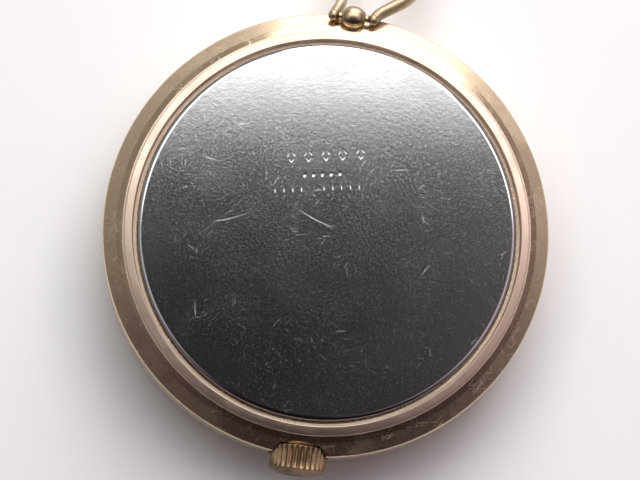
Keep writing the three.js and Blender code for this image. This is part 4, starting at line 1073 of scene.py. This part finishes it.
def build_face():
    stands_for(dial(), DIAL_SILVER, "dial")
    marks = [mark for hour in range(12) for mark in hour_mark(hour)]
    added(joined(*marks), GILT_POLISHED, BODY_OF["dial"]).name = "hour_marks"
    added(joined(*minute_track()), INK, BODY_OF["dial"]).name = "minute_track"
    stands_for(hand("hour_blade", **HOUR_HAND), BLUED, "hour_hand")
    stands_for(hand("minute_blade", **MINUTE_HAND), BLUED, "minute_hand")


# ---------------------------------------------------------------- movement

EASED = 0.035
WELD = 1e-4
FLAT_ENOUGH = math.radians(0.5)
SCREW = {"chamfer": 0.09, "slot": 0.2, "sunk": 0.12, "head_share": 0.9}
JEWEL = {"radius": 0.46, "hole": 0.2, "cup": 0.34, "cup_deep": 0.09, "proud": 0.015, "deep": 0.2}
CAP_DOME = 0.12
BRIDGE_TOP = 7.55
PLAIN_NICKEL = {"movement_ring", "balance_cock", "pallet_bridge"}
ESCAPE_TURN = 60.0  # one pinion leaf on, where both pallets meet gaps between the teeth


def points_of(node):
    source = frame["nodes"][node]
    return [source.matrix_world @ vert.co / MM for vert in source.data.vertices]


def axis_of(body):
    """Where the axis of a body's own hinge stands on the plate."""
    joints = RECORD["behaviour"]["joints"]
    x, y, _ = next(joint["pos_m"] for joint in joints if joint["child"] == body)
    return x / MM, y / MM


def middle_of(points):
    return tuple(
        (min(p[i] for p in points) + max(p[i] for p in points)) / 2 for i in (0, 1)
    )


def eased(node):
    """The node's own form, with every sharp edge broken as a finisher would break it."""
    source = frame["nodes"][node]
    bm = bmesh.new()
    bm.from_mesh(source.data)
    bm.transform(Matrix.Scale(1 / MM, 4) @ source.matrix_world)
    bmesh.ops.remove_doubles(bm, verts=bm.verts, dist=WELD)
    bmesh.ops.dissolve_limit(bm, angle_limit=FLAT_ENOUGH, verts=bm.verts, edges=bm.edges)
    piece = from_bmesh(node + "_eased", bm)
    step = piece.modifiers.new("ease", "BEVEL")
    step.width = EASED
    step.segments = 2
    step.limit_method = "ANGLE"
    step.angle_limit = SHARP
    return applied(piece)


def screw(node):
    """A blued screw: a chamfered head with a slot, on a plain shank."""
    points = points_of(node)
    middle = middle_of(points)
    low, top = min(p.z for p in points), max(p.z for p in points)
    reach = [(math.dist(p[:2], middle), p.z) for p in points]
    head = max(r for r, _ in reach)
    shank = max(r for r, z in reach if z < low + WELD)
    under = min(z for r, z in reach if r > head * SCREW["head_share"])
    section = [
        (0, low),
        (shank, low, 0.05),
        (shank, under),
        (head, under, 0.02),
        (head, top - SCREW["chamfer"], 0.04),
        (head - SCREW["chamfer"], top, 0.05),
        (0, top),
    ]
    made = turned(node + "_turned", rounded(section), 72, False)
    bm = bmesh.new()
    bmesh.ops.create_cube(bm, size=1.0)
    slot = from_bmesh("tool", bm)
    size = Matrix.Diagonal((3 * head, SCREW["slot"], 2 * SCREW["sunk"], 1))
    moved(slot, size, spin(random.uniform(0, 180), "Z"), shift(0, 0, top))
    return moved(cut(made, slot), shift(*middle))


def jewel(at, top):
    """A ruby bearing let into a bridge, hollowed round the pivot to hold its oil."""
    j = JEWEL
    section = [
        (j["hole"], top - j["deep"]),
        (j["radius"], top - j["deep"]),
        (j["radius"], top + j["proud"], 0.03),
        (j["cup"], top + j["proud"], 0.03),
        (j["hole"], top - j["cup_deep"], 0.02),
    ]
    return moved(turned("jewel", rounded(section), 64), shift(*at))


def cap_jewel():
    points = points_of("cap_jewel")
    middle = middle_of(points)
    low, top = min(p.z for p in points), max(p.z for p in points)
    radius = max(math.dist(p[:2], middle) for p in points)
    dome = arc((0, top - CAP_DOME), (radius, CAP_DOME), 0, 90, 10)
    stone = turned("cap_stone", [(0, low), (radius, low), *dome[:-1], (0, top)], 64, False)
    return moved(stone, shift(*middle))


def build_movement():
    stands_for(cap_jewel(), RUBY, "cap_jewel")
    for wheel in ("third_wheel", "fourth_wheel", "escape_wheel"):
        stone = jewel(axis_of(wheel), BRIDGE_TOP)
        added(stone, RUBY, BODY_OF["train_bridge"]).name = wheel.replace("wheel", "jewel")
    x, y = axis_of("escape_wheel")
    escape = moved(eased("escape_wheel"), shift(-x, -y), spin(ESCAPE_TURN, "Z"), shift(x, y))
    stands_for(escape, STEEL, "escape_wheel")
    for node in frame["nodes"]:
        if node in MADE:
            continue
        slot = SLOT_OF[node]
        made = screw(node) if slot == "blued_steel" and "screw" in node else eased(node)
        stands_for(made, RING_NICKEL if node in PLAIN_NICKEL else FINISH[slot], node)


# ---------------------------------------------------------------- studio


def floor():
    paint = Paint("pale_paper")
    fibre = paint.noise(paint.at, 0.9, 6.0, 0.65)
    cloud = paint.noise(paint.at, 0.02, 3.0)
    colour = paint.mix(cloud, (0.80, 0.80, 0.81), (0.76, 0.76, 0.77))
    normal = paint.bump(fibre, 0.08, 0.05)
    rough = paint.mul_add(fibre, 0.1, 0.75)
    material = paint.put(Base_Color=colour, Roughness=rough, Normal=normal)
    bm = bmesh.new()
    corners = [bm.verts.new((x, y, 0)) for x, y in ((-1, -1), (1, -1), (1, 1), (-1, 1))]
    bm.faces.new(corners)
    ground = from_bmesh("paper", bm)
    ground.data.materials.append(material)


# The camera looks down on the back, tipped a little towards the crown, and is turned so that
# the bow leans to the right. The lights are set out in the picture's own frame, right and up.
# From here on, lengths are in metres and angles in degrees.
VIEW = {"tilt": 7.5, "towards": 24.0, "roll": 7.0, "distance": 0.42, "width": 0.0547}
AIM = {"high": 0.0045, "right": -0.0004, "up": -0.0002}
SENSOR = 36.0
CEILING = {
    "right": 0.03, "up": 0.290, "high": 0.36, "face": (0, 0, -1), "size": (0.5, 0.45),
    "radiance": 2.4,
}
WINDOW = {
    "right": 0.130, "up": 0.480, "high": 0.20, "face": (-0.26, -0.97, 0), "size": (0.44, 0.40),
    "radiance": 3.9,
}
ROOM_LEVEL = 0.01
WALL_LEVELS = (0.02, 0.31)  # behind the viewer, and ahead
SIDE_GLOW = 0.42
FAR_GLOW = 0.5
ROSY_GLOW = 0.2
ROSE = (1.0, 0.62, 0.72)
MAGENTA = (1.0, 0.66, 0.90)
DAYLIGHT = (1.0, 0.98, 0.96)
ROLL = math.radians(VIEW["roll"])
RIGHT = Vector((math.cos(ROLL), math.sin(ROLL), 0))
UP = Vector((-math.sin(ROLL), math.cos(ROLL), 0))
HIGH = Vector((0, 0, 1))


def soft_light(name, right, up, high, face, size, radiance):
    """A soft panel at a place in metres, which shines along face."""
    light = bpy.data.lights.new(name, "AREA")
    light.shape = "RECTANGLE"
    light.size, light.size_y = size
    # Blender spreads the power of a panel over four times its area.
    light.energy = radiance * 4 * size[0] * size[1]
    lamp = bpy.data.objects.new(name, light)
    bpy.context.scene.collection.objects.link(lamp)
    back = -(RIGHT * face[0] + UP * face[1] + HIGH * face[2]).normalized()
    across = UP.cross(back) if abs(back.dot(HIGH)) > 0.9 else HIGH.cross(back)
    across.normalize()
    turn = Matrix((across, back.cross(across), back)).transposed().to_4x4()
    lamp.matrix_world = Matrix.Translation(RIGHT * right + UP * up + HIGH * high) @ turn
    lamp.visible_camera = False


def surroundings():
    """A dim room, lighter towards the window, round its walls and to both sides overhead. It
    has a rosy tone to the right, and a magenta one behind the viewer."""
    world = bpy.data.worlds.new("room")
    bpy.context.scene.world = world
    world.use_nodes = True
    room = Nodes(world.node_tree)
    way = room.add("ShaderNodeTexCoord").outputs["Generated"]
    ahead, height, aside = (
        room.add("ShaderNodeVectorMath", {0: way, 1: axis}, operation="DOT_PRODUCT").outputs[1]
        for axis in (UP, HIGH, RIGHT)
    )
    wall = room.band(height, 0.75, 0.1)
    level = room.mul_add(wall, room.band(ahead, -1.0, 0.6, *WALL_LEVELS), ROOM_LEVEL)
    beside = room.band(room.math("ABSOLUTE", aside), 0.14, 0.36)
    above = room.band(height, 0.3, 0.7)
    overhead = room.mul(above, room.band(ahead, -0.5, -0.15))
    level = room.mul_add(room.mul(beside, overhead), SIDE_GLOW, level)
    far = room.band(room.math("ABSOLUTE", aside), 0.4, 0.7)
    high = room.band(height, 0.4, 0.8)
    level = room.mul_add(room.mul(far, high), FAR_GLOW, level)
    rosy = room.mul(room.band(aside, 0.05, 0.16), room.band(ahead, -0.5, -0.1))
    level = room.mul_add(room.mul(rosy, above), ROSY_GLOW, level)
    colour = room.mix(room.band(ahead, -0.7, 0.0), MAGENTA, DAYLIGHT)
    colour = room.mix(room.mul(rosy, 0.5), colour, ROSE)
    shader = room.tree.nodes["Background"]
    room.tree.links.new(colour, shader.inputs["Color"])
    room.tree.links.new(level, shader.inputs["Strength"])


def camera():
    towards = math.radians(VIEW["towards"])
    low = -(RIGHT * math.sin(towards) + UP * math.cos(towards))
    tilt = math.radians(VIEW["tilt"])
    away = low * math.sin(tilt) + HIGH * math.cos(tilt)
    aim = HIGH * AIM["high"] + RIGHT * AIM["right"] + UP * AIM["up"]
    data = bpy.data.cameras.new("camera")
    data.sensor_width = SENSOR
    data.lens = SENSOR * VIEW["distance"] / VIEW["width"]
    data.clip_start = 0.01
    data.clip_end = 10.0
    lens = bpy.data.objects.new("camera", data)
    bpy.context.scene.collection.objects.link(lens)
    across = UP.cross(away).normalized()
    above = away.cross(across).normalized()
    turn = Matrix((across, above, away)).transposed().to_4x4()
    lens.matrix_world = Matrix.Translation(aim + away * VIEW["distance"]) @ turn
    bpy.context.scene.camera = lens


def build_studio():
    floor()
    soft_light("ceiling", **CEILING)
    soft_light("window", **WINDOW)
    surroundings()
    bpy.context.scene.view_settings.view_transform = "Standard"
    camera()


# ---------------------------------------------------------------- assembly

random.seed(7)
build_case()
build_outside_fittings()
build_face()
build_movement()
build_studio()
